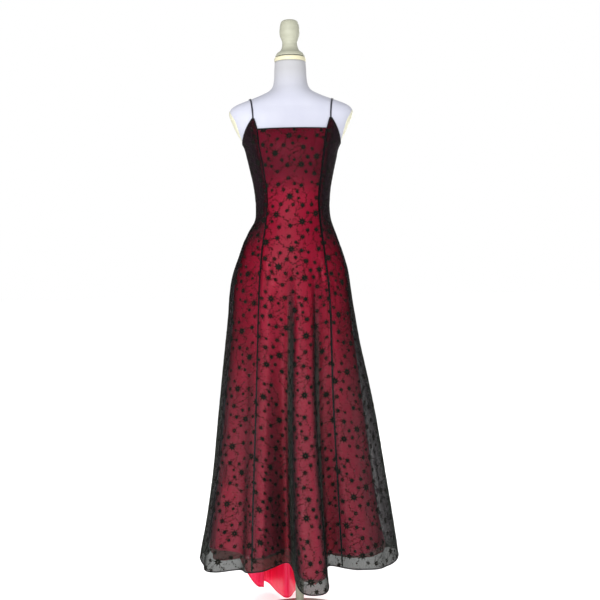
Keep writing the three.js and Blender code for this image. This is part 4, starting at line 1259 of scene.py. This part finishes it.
class Drawing:
    """Low closed shapes on the flat cloth. Points are s, t and a height from 0 to 1."""

    def __init__(self):
        self.points, self.faces, self.islands = [], [], []
        self.shapes = 0

    def add(self, points, faces):
        """Takes in one closed shape."""
        start = len(self.points)
        self.points.extend(points)
        self.islands.extend([self.shapes] * len(points))
        self.faces.extend([tuple(start + i for i in face) for face in faces])
        self.shapes += 1

    def rings(self, s, t, angles, levels, open_middle):
        """Concentric rings, each a radius for every angle and a height, with a hole or a flat middle."""
        count = len(angles)
        points, faces = [], []
        for reach, height in levels:
            points += [(s + r * math.cos(a), t + r * math.sin(a), height) for r, a in zip(reach, angles)]
        starts = [k * count for k in range(len(levels))]
        for a, b in zip(starts, starts[1:] + ([0] if open_middle else [])):
            faces += [(a + i, b + i, b + (i + 1) % count, a + (i + 1) % count) for i in range(count)]
        if not open_middle:
            faces.append(tuple(range(len(points) - 1, len(points) - 1 - count, -1)))
            faces.append(tuple(range(count)))
        self.add(points, faces)

    def peaked(self, rim, peak):
        """A flat outline that rises to one point."""
        count = len(rim)
        faces = [(i, count, (i + 1) % count) for i in range(count)] + [tuple(range(count))]
        self.add([(*p, 0) for p in rim] + [(*peak, 1)], faces)

    def flower(self, s, t, radius, petals, hole, turn):
        """Round petals about a small hole or a flat middle."""
        count = int(petals) * 2
        angle = np.linspace(0, 2 * math.pi, count, endpoint=False)
        reach = radius * np.tile([1, PETAL_NOTCH], int(petals))
        if radius < SMALL_FLOWER:
            rim = [(s + r * math.cos(a + turn), t + r * math.sin(a + turn)) for r, a in zip(reach, angle)]
            self.peaked(rim, (s, t))
            return
        levels = [(reach, 0), (PETAL_CROWN * reach, 1)]
        if hole > CLOSED_BELOW:
            levels.append((np.full(count, hole * radius), HOLE_HEIGHT))
        self.rings(s, t, angle + turn, levels, hole > CLOSED_BELOW)

    def ribbon(self, path):
        """A ridged strip along a path, narrower towards its end."""
        along = np.gradient(path, axis=0)
        along /= np.linalg.norm(along, axis=1, keepdims=True)
        aside = np.stack([-along[:, 1], along[:, 0]], axis=1)
        taper = VINE_HALF_WIDTH * np.linspace(1, RIBBON_TAPER, len(path))[:, None]
        left, right = path + aside * taper, path - aside * taper
        points, faces = [], []
        for a, ridge, b in zip(left, path, right):
            points += [(*a, 0), (*ridge, 1), (*b, 0)]
        for k in range(0, 3 * (len(path) - 1), 3):
            faces += [(k, k + 3, k + 4, k + 1), (k + 1, k + 4, k + 5, k + 2), (k + 2, k + 5, k + 3, k)]
        last = len(points) - 3
        faces += [(0, 1, 2), (last + 2, last + 1, last)]
        self.add(points, faces)

    def leaf(self, s, t, heading):
        """A small pointed leaf from its root."""
        forward = np.array([math.cos(heading), math.sin(heading)])
        aside = np.array([-forward[1], forward[0]]) * LEAF_HALF_WIDTH
        root = np.array([s, t])
        middle = root + forward * LEAF_LENGTH * LEAF_MIDDLE
        self.peaked([root, middle - aside, root + forward * LEAF_LENGTH, middle + aside], middle)

    def vine(self, s, t, to_s, to_t, bend):
        """A swaying stem between two places, with leaves on both sides in turn."""
        start, end = np.array([s, t]), np.array([to_s, to_t])
        run = end - start
        length = np.linalg.norm(run)
        aside = np.array([-run[1], run[0]]) / length
        share = np.linspace(0, 1, max(4, round(length / VINE_STEP)))
        once, twice = VINE_SWAY
        sway = bend * (once * np.sin(math.pi * share) + twice * np.sin(2 * math.pi * share))
        path = start + run * share[:, None] + aside * sway[:, None]
        self.ribbon(path)
        heading = math.atan2(run[1], run[0])
        leaves = int(length / LEAF_SPACING)
        for i in range(1, leaves + 1):
            root = [np.interp(i / (leaves + 1), share, path[:, k]) for k in (0, 1)]
            side = 1 if i % 2 else -1
            self.leaf(*root, heading + side * LEAF_ANGLE)

    def curl(self, s, t, radius, turn):
        """A tendril that winds inwards, with a leaf at its root."""
        share = np.linspace(0, 1, 8)
        angle = turn + CURL_SWEEP * share
        reach = radius * (1 - CURL_SHRINK * share)
        self.ribbon(np.stack([s + reach * np.cos(angle), t + reach * np.sin(angle)], axis=1))
        self.leaf(s + radius * math.cos(turn), t + radius * math.sin(turn), turn - math.pi / 2)

    def dot(self, s, t, radius, turn=0.0):
        corners = turn + np.arange(DOT_SIDES) * 2 * math.pi / DOT_SIDES
        self.peaked([(s + radius * math.cos(a), t + radius * math.sin(a)) for a in corners], (s, t))

    def dots(self, s, t, radius, start, sweep, count):
        """An arc of dots, each a little smaller than the last."""
        largest, loss = DOT_SIZES
        for i in range(int(count)):
            angle = start + sweep * i / (count - 1)
            size = DOT_RADIUS * (largest - loss * i / count)
            self.dot(s + radius * math.cos(angle), t + radius * math.sin(angle), size)

    def sprinkle(self, count, random):
        """Loose clusters of dots between the flowers."""
        for _ in range(count):
            middle = random.uniform((0, 0), (REPEAT_WIDTH, REPEAT_HEIGHT))
            for _ in range(random.integers(*CLUSTER_DOTS)):
                s, t = middle + random.uniform(-CLUSTER_REACH, CLUSTER_REACH, 2)
                apart = np.hypot(FLOWERS["s"] - s, FLOWERS["t"] - t) - FLOWERS["radius"]
                if apart.min() > CLUSTER_CLEARANCE:
                    self.dot(s, t, random.uniform(*CLUSTER_RADII), random.uniform(0, math.pi))


def one_repeat():
    """The pattern's repeat as a mesh in mm, with its heights as z, and the shape that each point is in."""
    drawing = Drawing()
    for shape, rows in (
        (drawing.flower, FLOWERS),
        (drawing.vine, VINES),
        (drawing.curl, CURLS),
        (drawing.dots, DOTS),
    ):
        for values in zip(*rows.values()):
            shape(*(float(v) for v in values))
    drawing.sprinkle(CLUSTERS, np.random.default_rng(7))
    mesh = bpy.data.meshes.new("flock_repeat")
    centred = np.array(drawing.points) - (REPEAT_WIDTH / 2, REPEAT_HEIGHT / 2, 0)
    mesh.from_pydata(centred.tolist(), [], drawing.faces)
    return mesh, np.array(drawing.islands)


def finish_tree(tree, outgoing, geometry, given):
    """Realizes the instances and sets the material, the end of every tree."""
    realize = tree.nodes.new("GeometryNodeRealizeInstances")
    paint = tree.nodes.new("GeometryNodeSetMaterial")
    tree.links.new(geometry, realize.inputs["Geometry"])
    tree.links.new(realize.outputs["Geometry"], paint.inputs["Geometry"])
    tree.links.new(given.outputs["Material"], paint.inputs["Material"])
    tree.links.new(paint.outputs["Geometry"], outgoing.inputs["Geometry"])


def repeat_tree():
    """Copies a repeat over a grid: odd columns half a repeat down, and odd rows turned half round."""
    tree, given, outgoing = geometry_tree("half_drop_repeat", [
        ("Columns", "NodeSocketInt", 3),
        ("Rows", "NodeSocketInt", 3),
        ("Width", "NodeSocketFloat", float(REPEAT_WIDTH)),
        ("Height", "NodeSocketFloat", float(REPEAT_HEIGHT)),
        ("Material", "NodeSocketMaterial", None),
    ])
    nodes, links = tree.nodes, tree.links
    columns, rows = given.outputs["Columns"], given.outputs["Rows"]
    width, height = given.outputs["Width"], given.outputs["Height"]
    grid = nodes.new("GeometryNodeMeshGrid")
    links.new(columns, grid.inputs["Vertices X"])
    links.new(rows, grid.inputs["Vertices Y"])
    links.new(maths(tree, "MULTIPLY", maths(tree, "SUBTRACT", columns, 1), width), grid.inputs["Size X"])
    links.new(maths(tree, "MULTIPLY", maths(tree, "SUBTRACT", rows, 1), height), grid.inputs["Size Y"])
    index = nodes.new("GeometryNodeInputIndex").outputs[0]
    column = maths(tree, "FLOOR", maths(tree, "DIVIDE", index, rows), 0)
    odd_row = maths(tree, "MODULO", maths(tree, "MODULO", index, rows), 2)
    half_turn = nodes.new("ShaderNodeCombineXYZ")
    links.new(maths(tree, "MULTIPLY", odd_row, math.pi), half_turn.inputs["Z"])
    drop = maths(tree, "MULTIPLY", maths(tree, "MODULO", column, 2), maths(tree, "MULTIPLY", height, 0.5))
    offset = nodes.new("ShaderNodeCombineXYZ")
    links.new(drop, offset.inputs["Y"])
    move = nodes.new("GeometryNodeSetPosition")
    links.new(grid.outputs["Mesh"], move.inputs["Geometry"])
    links.new(offset.outputs["Vector"], move.inputs["Offset"])
    copies = nodes.new("GeometryNodeInstanceOnPoints")
    links.new(move.outputs["Geometry"], copies.inputs["Points"])
    links.new(given.outputs["Geometry"], copies.inputs["Instance"])
    links.new(half_turn.outputs["Vector"], copies.inputs["Rotation"])
    finish_tree(tree, outgoing, copies.outputs["Instances"], given)
    return tree


def run_tree(tree, mesh, values):
    """The mesh that a tree makes from mesh, with its named inputs set."""
    holder = linked("holder", mesh)
    modifier = holder.modifiers.new("nodes", "NODES")
    modifier.node_group = tree
    for item in tree.interface.items_tree:
        if item.item_type == "SOCKET" and item.in_out == "INPUT" and item.name in values:
            modifier[item.identifier] = values[item.name]
    evaluated = holder.evaluated_get(bpy.context.evaluated_depsgraph_get())
    made = bpy.data.meshes.new_from_object(evaluated)
    bpy.data.objects.remove(holder)
    return made


def stitch_tree():
    """Stitches along a polyline: small spindles, one after another."""
    tree, given, outgoing = geometry_tree("stitch_row", [
        ("Spacing", "NodeSocketFloat", 0.003),
        ("Length", "NodeSocketFloat", 0.0022),
        ("Radius", "NodeSocketFloat", 0.0003),
        ("Material", "NodeSocketMaterial", None),
    ])
    nodes, links = tree.nodes, tree.links
    curve = nodes.new("GeometryNodeMeshToCurve")
    links.new(given.outputs["Geometry"], curve.inputs["Mesh"])
    marks = nodes.new("GeometryNodeCurveToPoints")
    marks.mode = "LENGTH"
    links.new(curve.outputs["Curve"], marks.inputs["Curve"])
    links.new(given.outputs["Spacing"], marks.inputs["Length"])
    spindle = nodes.new("GeometryNodeMeshIcoSphere")
    spindle.inputs["Subdivisions"].default_value = 1
    spindle.inputs["Radius"].default_value = 1
    size = nodes.new("ShaderNodeCombineXYZ")
    links.new(given.outputs["Radius"], size.inputs["X"])
    links.new(given.outputs["Radius"], size.inputs["Y"])
    links.new(maths(tree, "MULTIPLY", given.outputs["Length"], 0.5), size.inputs["Z"])
    stitches = nodes.new("GeometryNodeInstanceOnPoints")
    links.new(marks.outputs["Points"], stitches.inputs["Points"])
    links.new(marks.outputs["Rotation"], stitches.inputs["Rotation"])
    links.new(spindle.outputs["Mesh"], stitches.inputs["Instance"])
    links.new(size.outputs["Vector"], stitches.inputs["Scale"])
    finish_tree(tree, outgoing, stitches.outputs["Instances"], given)
    return tree


def stitches(name, paths, thread, slot, size):
    """Rows of stitches along paths in mm, joined as one piece. size is their spacing, length and radius."""
    spacing, length, radius = size
    points, edges = [], []
    for path in paths:
        edges += [(len(points) + i, len(points) + i + 1) for i in range(len(path) - 1)]
        points += (np.asarray(path) * MM).tolist()
    line = bpy.data.meshes.new(name + "_line")
    line.from_pydata(points, edges, [])
    sizes = {"Spacing": spacing * MM, "Length": length * MM, "Radius": radius * MM, "Material": thread}
    mesh = run_tree(sewing, line, sizes)
    mesh.name = name
    bpy.data.meshes.remove(line)
    return mark(linked(name, mesh), slot)


def make_flock(name, chart, repeat, islands, tree, shift):
    """The flocked pattern of one panel, laid on the flat cloth, cut at its edges and lifted off the net."""
    first, last = PANELS[name]
    s_low, s_high = chart.s.min(), chart.s.max()
    columns = int((s_high - s_low) / REPEAT_WIDTH) + 3
    rows = int(chart.t[-1] / REPEAT_HEIGHT) + 4
    flat = run_tree(tree, repeat, {"Columns": columns, "Rows": rows, "Material": flock})
    points = np.empty(len(flat.vertices) * 3)
    flat.vertices.foreach_get("co", points)
    points = points.reshape(-1, 3)
    faces = [tuple(p.vertices) for p in flat.polygons]
    bpy.data.meshes.remove(flat)
    middle = np.array([(s_low + s_high) / 2, (chart.t[-1] - REPEAT_HEIGHT) / 2])
    s, t = (points[:, :2] + middle + shift).T
    u, z = chart.place(s, t)
    top, hem = top_edge(np.clip(u, first, last)), hem_edge(OVERLAY, np.clip(u, first, last))
    inside = (u > first) & (u < last) & (z < top) & (z > hem) & (t > 0) & (t < chart.t[-1])
    copy = np.arange(len(u)) // len(islands)
    shape = copy * (islands[-1] + 1) + np.tile(islands, copy[-1] + 1)
    kept = np.bincount(shape, inside) > KEPT_SHARE * np.bincount(shape)
    faces = [face for face in faces if kept[shape[face[0]]]]
    used = np.flatnonzero(kept[shape])
    renumber = np.full(len(u), -1)
    renumber[used] = np.arange(len(used))
    faces = [tuple(int(renumber[i]) for i in face) for face in faces]
    u = np.clip(u[used], first + SEAM_MARGIN, last - SEAM_MARGIN)
    z = np.clip(z[used], hem_edge(OVERLAY, u) + EDGE_MARGIN, top_edge(u) - EDGE_MARGIN)
    lift = FLOCK_LOW + (FLOCK_TOP - FLOCK_LOW) * points[used, 2]
    body = point_on(OVERLAY, u, z) + normal_on(OVERLAY, u, z) * lift[:, None]
    return mark(new_object("flock_" + name, body, faces, flock, smooth=False), "net")


# Sewing: each stitch is its spacing, length and radius in mm
LINING_STITCH = (3.4, 2.3, 0.32)
HEM_STITCH = (2.8, 2.0, 0.3)
NECK_STITCH = (2.8, 2.0, 0.28)
SEAM_STITCH = (4.6, 3.4, 0.26)
ZIP_STITCH = (2.8, 2.0, 0.26)
TACK = (1.1, 1.2, 0.26)
STITCH_LIFT = 0.1  # from the cloth's face to the middle of its stitches
LINING_STITCH_LIFT = 0.15
SEAM_STITCH_LIFT = -0.45
TACK_LIFT = 0.5
ROUND_STEPS = 1400
DOWN_STEPS = 260
TACK_STEPS = 8
LINING_HEM_DEPTH = 18
NET_HEM_DEPTH = 3.2
NECK_DEPTH = 3.6
TACK_DROPS = (1.2, 2.4, 3.6)
TACK_REACH = 2.2
ZIP_STITCH_ASIDE = 5.5
ZIP_FOLD_ASIDE = 0.85
ZIP_FOLD = (1.5, 1.3)  # width and height
ZIP_FOOT = (3.4, 1.2)
FOOT_LIFT = 0.3
ZIP_TOP = BACK_NECK - SLIDER_DROP - 6
FOOT_SPAN = (ZIP_END + 3, ZIP_END - 5)


def down_path(layer, u, offset, top, low, lift):
    """A path down a layer, offset mm beside u."""
    z = np.linspace(top, low, DOWN_STEPS)
    return point_on(layer, beside(layer, np.full(z.shape, float(u)), z, offset), z, lift)


def tack(middle, z):
    """A short row across the end of a strap."""
    z = np.full(TACK_STEPS, z)
    aside = np.linspace(-TACK_REACH, TACK_REACH, TACK_STEPS)
    return point_on(OVERLAY, beside(OVERLAY, np.full(TACK_STEPS, middle), z, aside), z, TACK_LIFT)


def sew():
    """All the rows of stitches that show."""
    u = np.linspace(-3, 3, ROUND_STEPS)
    lining_hem = point_on(LINING, u, hem_edge(LINING, u) + LINING_HEM_DEPTH, LINING_STITCH_LIFT)
    stitches("lining_hem_stitches", [lining_hem], red_thread, "satin", LINING_STITCH)
    net_hem = point_on(OVERLAY, u, hem_edge(OVERLAY, u) + NET_HEM_DEPTH, STITCH_LIFT)
    stitches("net_hem_stitches", [net_hem], black_thread, "net", HEM_STITCH)
    neckline = point_on(OVERLAY, u, top_edge(u) - NECK_DEPTH, STITCH_LIFT)
    stitches("neckline_stitches", [neckline], black_thread, "net", NECK_STITCH)
    seams = []
    for strip, (seam, _) in SEAM_STRIPS.items():
        if strip != "centre_back":
            top, low = float(top_edge(seam)) - 3, float(hem_edge(OVERLAY, seam)) + 3
            seams.append(down_path(OVERLAY, seam, 0, top, low, SEAM_STITCH_LIFT))
    stitches("seam_stitches", seams, black_thread, "net", SEAM_STITCH)
    sides = (-ZIP_STITCH_ASIDE, ZIP_STITCH_ASIDE)
    rows = [down_path(OVERLAY, 3.0, aside, BACK_NECK - 5, ZIP_END + 2, STITCH_LIFT) for aside in sides]
    stitches("zip_stitches", rows, black_thread, "net", ZIP_STITCH)
    tacks = []
    for side in (-1, 1):
        for drop in TACK_DROPS:
            tacks.append(tack(side * (STRAP_INNER + STRAP_OUTER) / 2, STRAP_POINT - drop))
            tacks.append(tack(side * STRAP_BACK, float(top_edge(STRAP_BACK)) - drop))
    stitches("strap_tacks", tacks, black_thread, "strap", TACK)


def make_zip_seam():
    """The concealed zip: its two folded edges meet along the centre back below the slider."""
    for name, side in (("zip_edge_left", -1), ("zip_edge_right", 1)):
        path = down_path(OVERLAY, 3.0, side * ZIP_FOLD_ASIDE, ZIP_TOP, ZIP_END, STITCH_LIFT)
        z = np.linspace(ZIP_TOP, ZIP_END, len(path))
        outward = normal_on(OVERLAY, np.full(z.shape, 3.0), z)
        mark(tube(name, path, outward, *ZIP_FOLD, seam_net, sides=8), "net")
    foot = down_path(OVERLAY, 3.0, 0, *FOOT_SPAN, FOOT_LIFT)
    outward = normal_on(OVERLAY, np.full(len(foot), 3.0), np.linspace(*FOOT_SPAN, len(foot)))
    mark(tube("zip_foot", foot, outward, *ZIP_FOOT, black_thread, sides=10, box=0.6), "net")


# Dress form: profiles are rows of radius and height in mm, from the bottom up
PLATE = {"z": 1497, "half_height": 46, "half_depth": 42, "wall": 1.2, "crown": 1.6, "sunk": 1.0}
PLATE_HOLE = 0.02  # share of its reach that the flat middle of a plate takes
CAP_SEAT = 1685.3
CAP = [
    (43.4, 15.4), (43.6, 17), (42.4, 20), (38.5, 26), (31, 31.5), (26, 38), (23, 48), (22.5, 58),
    (24.5, 66), (28, 75), (30, 86), (29.5, 98), (27.5, 111), (24.5, 119), (19, 123),
]
CAP_RING = [(44.5, 0), (46.6, 1.4), (47, 4), (47, 9), (46, 11.6), (44, 13)]
# a black ring in the cap's groove, painted shade where the groove is recessed
CAP_GROOVE_SHADE = [(42.2, 12.6), (41.4, 14), (42.2, 15.8)]
BASE = [(176, 0), (180, 3), (180, 10), (177, 15), (171, 18)]
SOCKET = [(34, 18.3), (34, 26), (24, 38), (20, 60.3), (17, 64.3)]
COLLAR = [(20, 907.7), (30, 913.7), (36, 929.7)]
POLE = [(12.5, 18.3), (12.5, 929.7)]
POLE_BORE = 12.8


def make_arm_plate(name, side):
    """The flat oval plate that closes an arm opening of the form, a little crowned."""
    rings, sectors = 12, 64
    reach = np.linspace(PLATE_HOLE, 1, rings)[:, None]
    turn = np.linspace(0, 2 * math.pi, sectors, endpoint=False)
    z = PLATE["z"] + PLATE["half_height"] * reach * np.sin(turn)
    y = PLATE["half_depth"] * reach * np.cos(turn)
    square = at(FORM, "square", z)
    deep = np.where(y < 0, at(FORM, "front", z), at(FORM, "back", z))
    x = at(FORM, "width", z) * (1 - (np.abs(y) / deep) ** square) ** (1 / square)
    lift = PLATE["wall"] + PLATE["crown"] * (1 - reach**2)
    lift[-1] /= 2
    outer = np.stack([side * (x + lift), y, z], axis=-1)
    inner = np.stack([side * (x - PLATE["sunk"]), y, z], axis=-1)
    points = np.concatenate([outer, inner[::-1]]).reshape(-1, 3)
    faces = capped_faces(2 * rings, sectors, flip=side < 0)
    return mark(new_object(name, points, faces, plate_paint), "cream_wood")


def make_torso():
    """The form's jersey cover, from the same sections as the solid."""
    sides, steps = 96, 4
    spans = zip(FORM["z"][:-1], FORM["z"][1:])
    levels = [np.linspace(a, b, steps, endpoint=False) for a, b in spans]
    z = np.concatenate(levels + [FORM["z"][-1:]])[:, None]
    angle = np.linspace(0, 2 * math.pi, sides, endpoint=False)
    power = 2 / at(FORM, "square", z)
    s, c = np.sin(angle), np.cos(angle)
    x = at(FORM, "width", z) * np.sign(s) * np.abs(s) ** power
    y = np.where(c > 0, -at(FORM, "front", z), at(FORM, "back", z)) * np.abs(c) ** power
    rings = np.stack([x, y, np.broadcast_to(z, x.shape)], axis=-1)
    torso = new_object("torso_cover", rings.reshape(-1, 3), capped_faces(*x.shape), jersey)
    for end in torso.data.polygons[-2:]:
        end.use_smooth = False
    return mark(torso, "jersey", "form_torso")


def make_stand():
    """The turned cap over the neck with a black ring of painted shade in its groove, and the base, socket,
    collar and pole that carry the form.
    """
    cap, ring, groove = [[(r, CAP_SEAT + h) for r, h in rows] for rows in (CAP, CAP_RING, CAP_GROOVE_SHADE)]
    mark(turned("cap_turned", rounded(cap), painted_wood), "cream_wood", "neck_cap")
    mark(turned("cap_ring", rounded(ring, 4), ring_wood), "cream_wood")
    mark(turned("cap_groove_shade", groove, black_thread), "cream_wood")
    mark(turned("base_turned", rounded(BASE, 3), painted_wood), "cream_wood", "base_plate")
    bored = {"socket_turned": (SOCKET, "base_socket"), "collar_turned": (COLLAR, "torso_collar")}
    for name, (rows, node) in bored.items():
        mark(turned(name, rounded(rows, 4), painted_wood, bore=POLE_BORE), "cream_wood", node)
    mark(turned("pole_turned", POLE, painted_wood, sides=48), "cream_wood", "pole")


charts = {}
for panel in PANELS:
    cloth_panel(panel, LINING, LINING_WALL, satin, "satin")
    charts[panel] = cloth_panel(panel, OVERLAY, NET_WALL, net, "net")
make_torso()
make_arm_plate("arm_plate_left", -1)
make_arm_plate("arm_plate_right", 1)
make_stand()
sewing = stitch_tree()
sew()
make_zip_seam()
pattern, shape_of_point = one_repeat()
copier = repeat_tree()
for order, panel in enumerate(PANELS):
    moved = (order * PANEL_SHIFT[0] % REPEAT_WIDTH, order * PANEL_SHIFT[1] % REPEAT_HEIGHT)
    make_flock(panel, charts[panel], pattern, shape_of_point, copier, moved)
for seam_name, (seam_u, seam_width) in SEAM_STRIPS.items():
    seam_strip("seam_" + seam_name, seam_u, seam_width)
hem_roll("net_hem_roll", OVERLAY, NET_ROLL, seam_net, "net")
hem_roll("lining_hem_fold", LINING, LINING_ROLL, satin, "satin")
top_binding()
make_strap("strap_left_cloth", -1)
make_strap("strap_right_cloth", 1)
for node in ("zip_slider", "zip_pull_tab"):
    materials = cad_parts[node].data.materials
    materials.clear()
    materials.append(zip_metal)


# Floor, lights and camera: the floor in millimetres, and the rest in metres and watts
FLOOR_DROP = 1
FLOOR_REACH = 40000
FLOOR_GLOW = 0.62
ROOM_GLOW = 0.45
LIGHTS = {
    "key_light": {"at": (-0.9, -3.4, 2.1), "aim": (0, 0, 0.8), "size": (2.2, 2.2), "power": 108},
    "low_fill": {"at": (0.3, -2.6, 0.3), "aim": (-0.1, 0, 0.12), "size": (2.0, 0.5), "power": 17},
    "back_light": {"at": (1.3, 3.3, 2.2), "aim": (0, 0, 0.8), "size": (2.2, 2.2), "power": 60},
}
CAMERA_AT = (0.0168, -3.0, 1.06)
CAMERA_TILT = math.atan(0.028)
CAMERA_ROLL = math.radians(1.03)
CAMERA_LENS = 60
CAMERA_SENSOR = 36


def add_light(name, values):
    """A rectangular area light that faces its aim."""
    lamp = bpy.data.lights.new(name, "AREA")
    lamp.shape = "RECTANGLE"
    lamp.size, lamp.size_y = values["size"]
    lamp.energy = values["power"]
    holder = linked(name, lamp)
    holder.location = values["at"]
    aim = Vector(values["aim"]) - Vector(values["at"])
    holder.rotation_euler = aim.to_track_quat("-Z", "Y").to_euler()


def make_stage():
    """A white floor and room that glow in the picture, and the lights."""
    white = (1, 1, 1, 1)
    floor_paint = surface(
        "floor_paint", Base_Color=(0.9, 0.9, 0.9, 1), Roughness=0.9,
        Emission_Color=white, Emission_Strength=FLOOR_GLOW,
    )
    sides = ((-1, -1), (1, -1), (1, 1), (-1, 1))
    corners = [(x * FLOOR_REACH, y * FLOOR_REACH, -FLOOR_DROP) for x, y in sides]
    floor = new_object("floor", corners, [(0, 1, 2, 3)], floor_paint, smooth=False)
    world = bpy.data.worlds.new("studio")
    world.use_nodes = True
    nodes, links = world.node_tree.nodes, world.node_tree.links
    background = nodes["Background"]
    background.inputs["Color"].default_value = white
    path = nodes.new("ShaderNodeLightPath")
    strength = nodes.new("ShaderNodeMapRange")
    strength.inputs["To Min"].default_value = ROOM_GLOW
    strength.inputs["To Max"].default_value = 1.0
    links.new(path.outputs["Is Camera Ray"], strength.inputs["Value"])
    links.new(strength.outputs["Result"], background.inputs["Strength"])
    bpy.context.scene.world = world
    for name, values in LIGHTS.items():
        add_light(name, values)
    bpy.context.scene.view_settings.view_transform = "Standard"


def make_camera():
    """The camera, with the photo's height, tilt and roll."""
    lens = bpy.data.cameras.new("camera")
    lens.lens = CAMERA_LENS
    lens.sensor_width = CAMERA_SENSOR
    camera = linked("camera", lens)
    turn = Matrix.Rotation(math.pi / 2 - CAMERA_TILT, 4, "X") @ Matrix.Rotation(-CAMERA_ROLL, 4, "Z")
    camera.matrix_world = Matrix.Translation(CAMERA_AT) @ turn
    bpy.context.scene.camera = camera


make_stage()
make_camera()
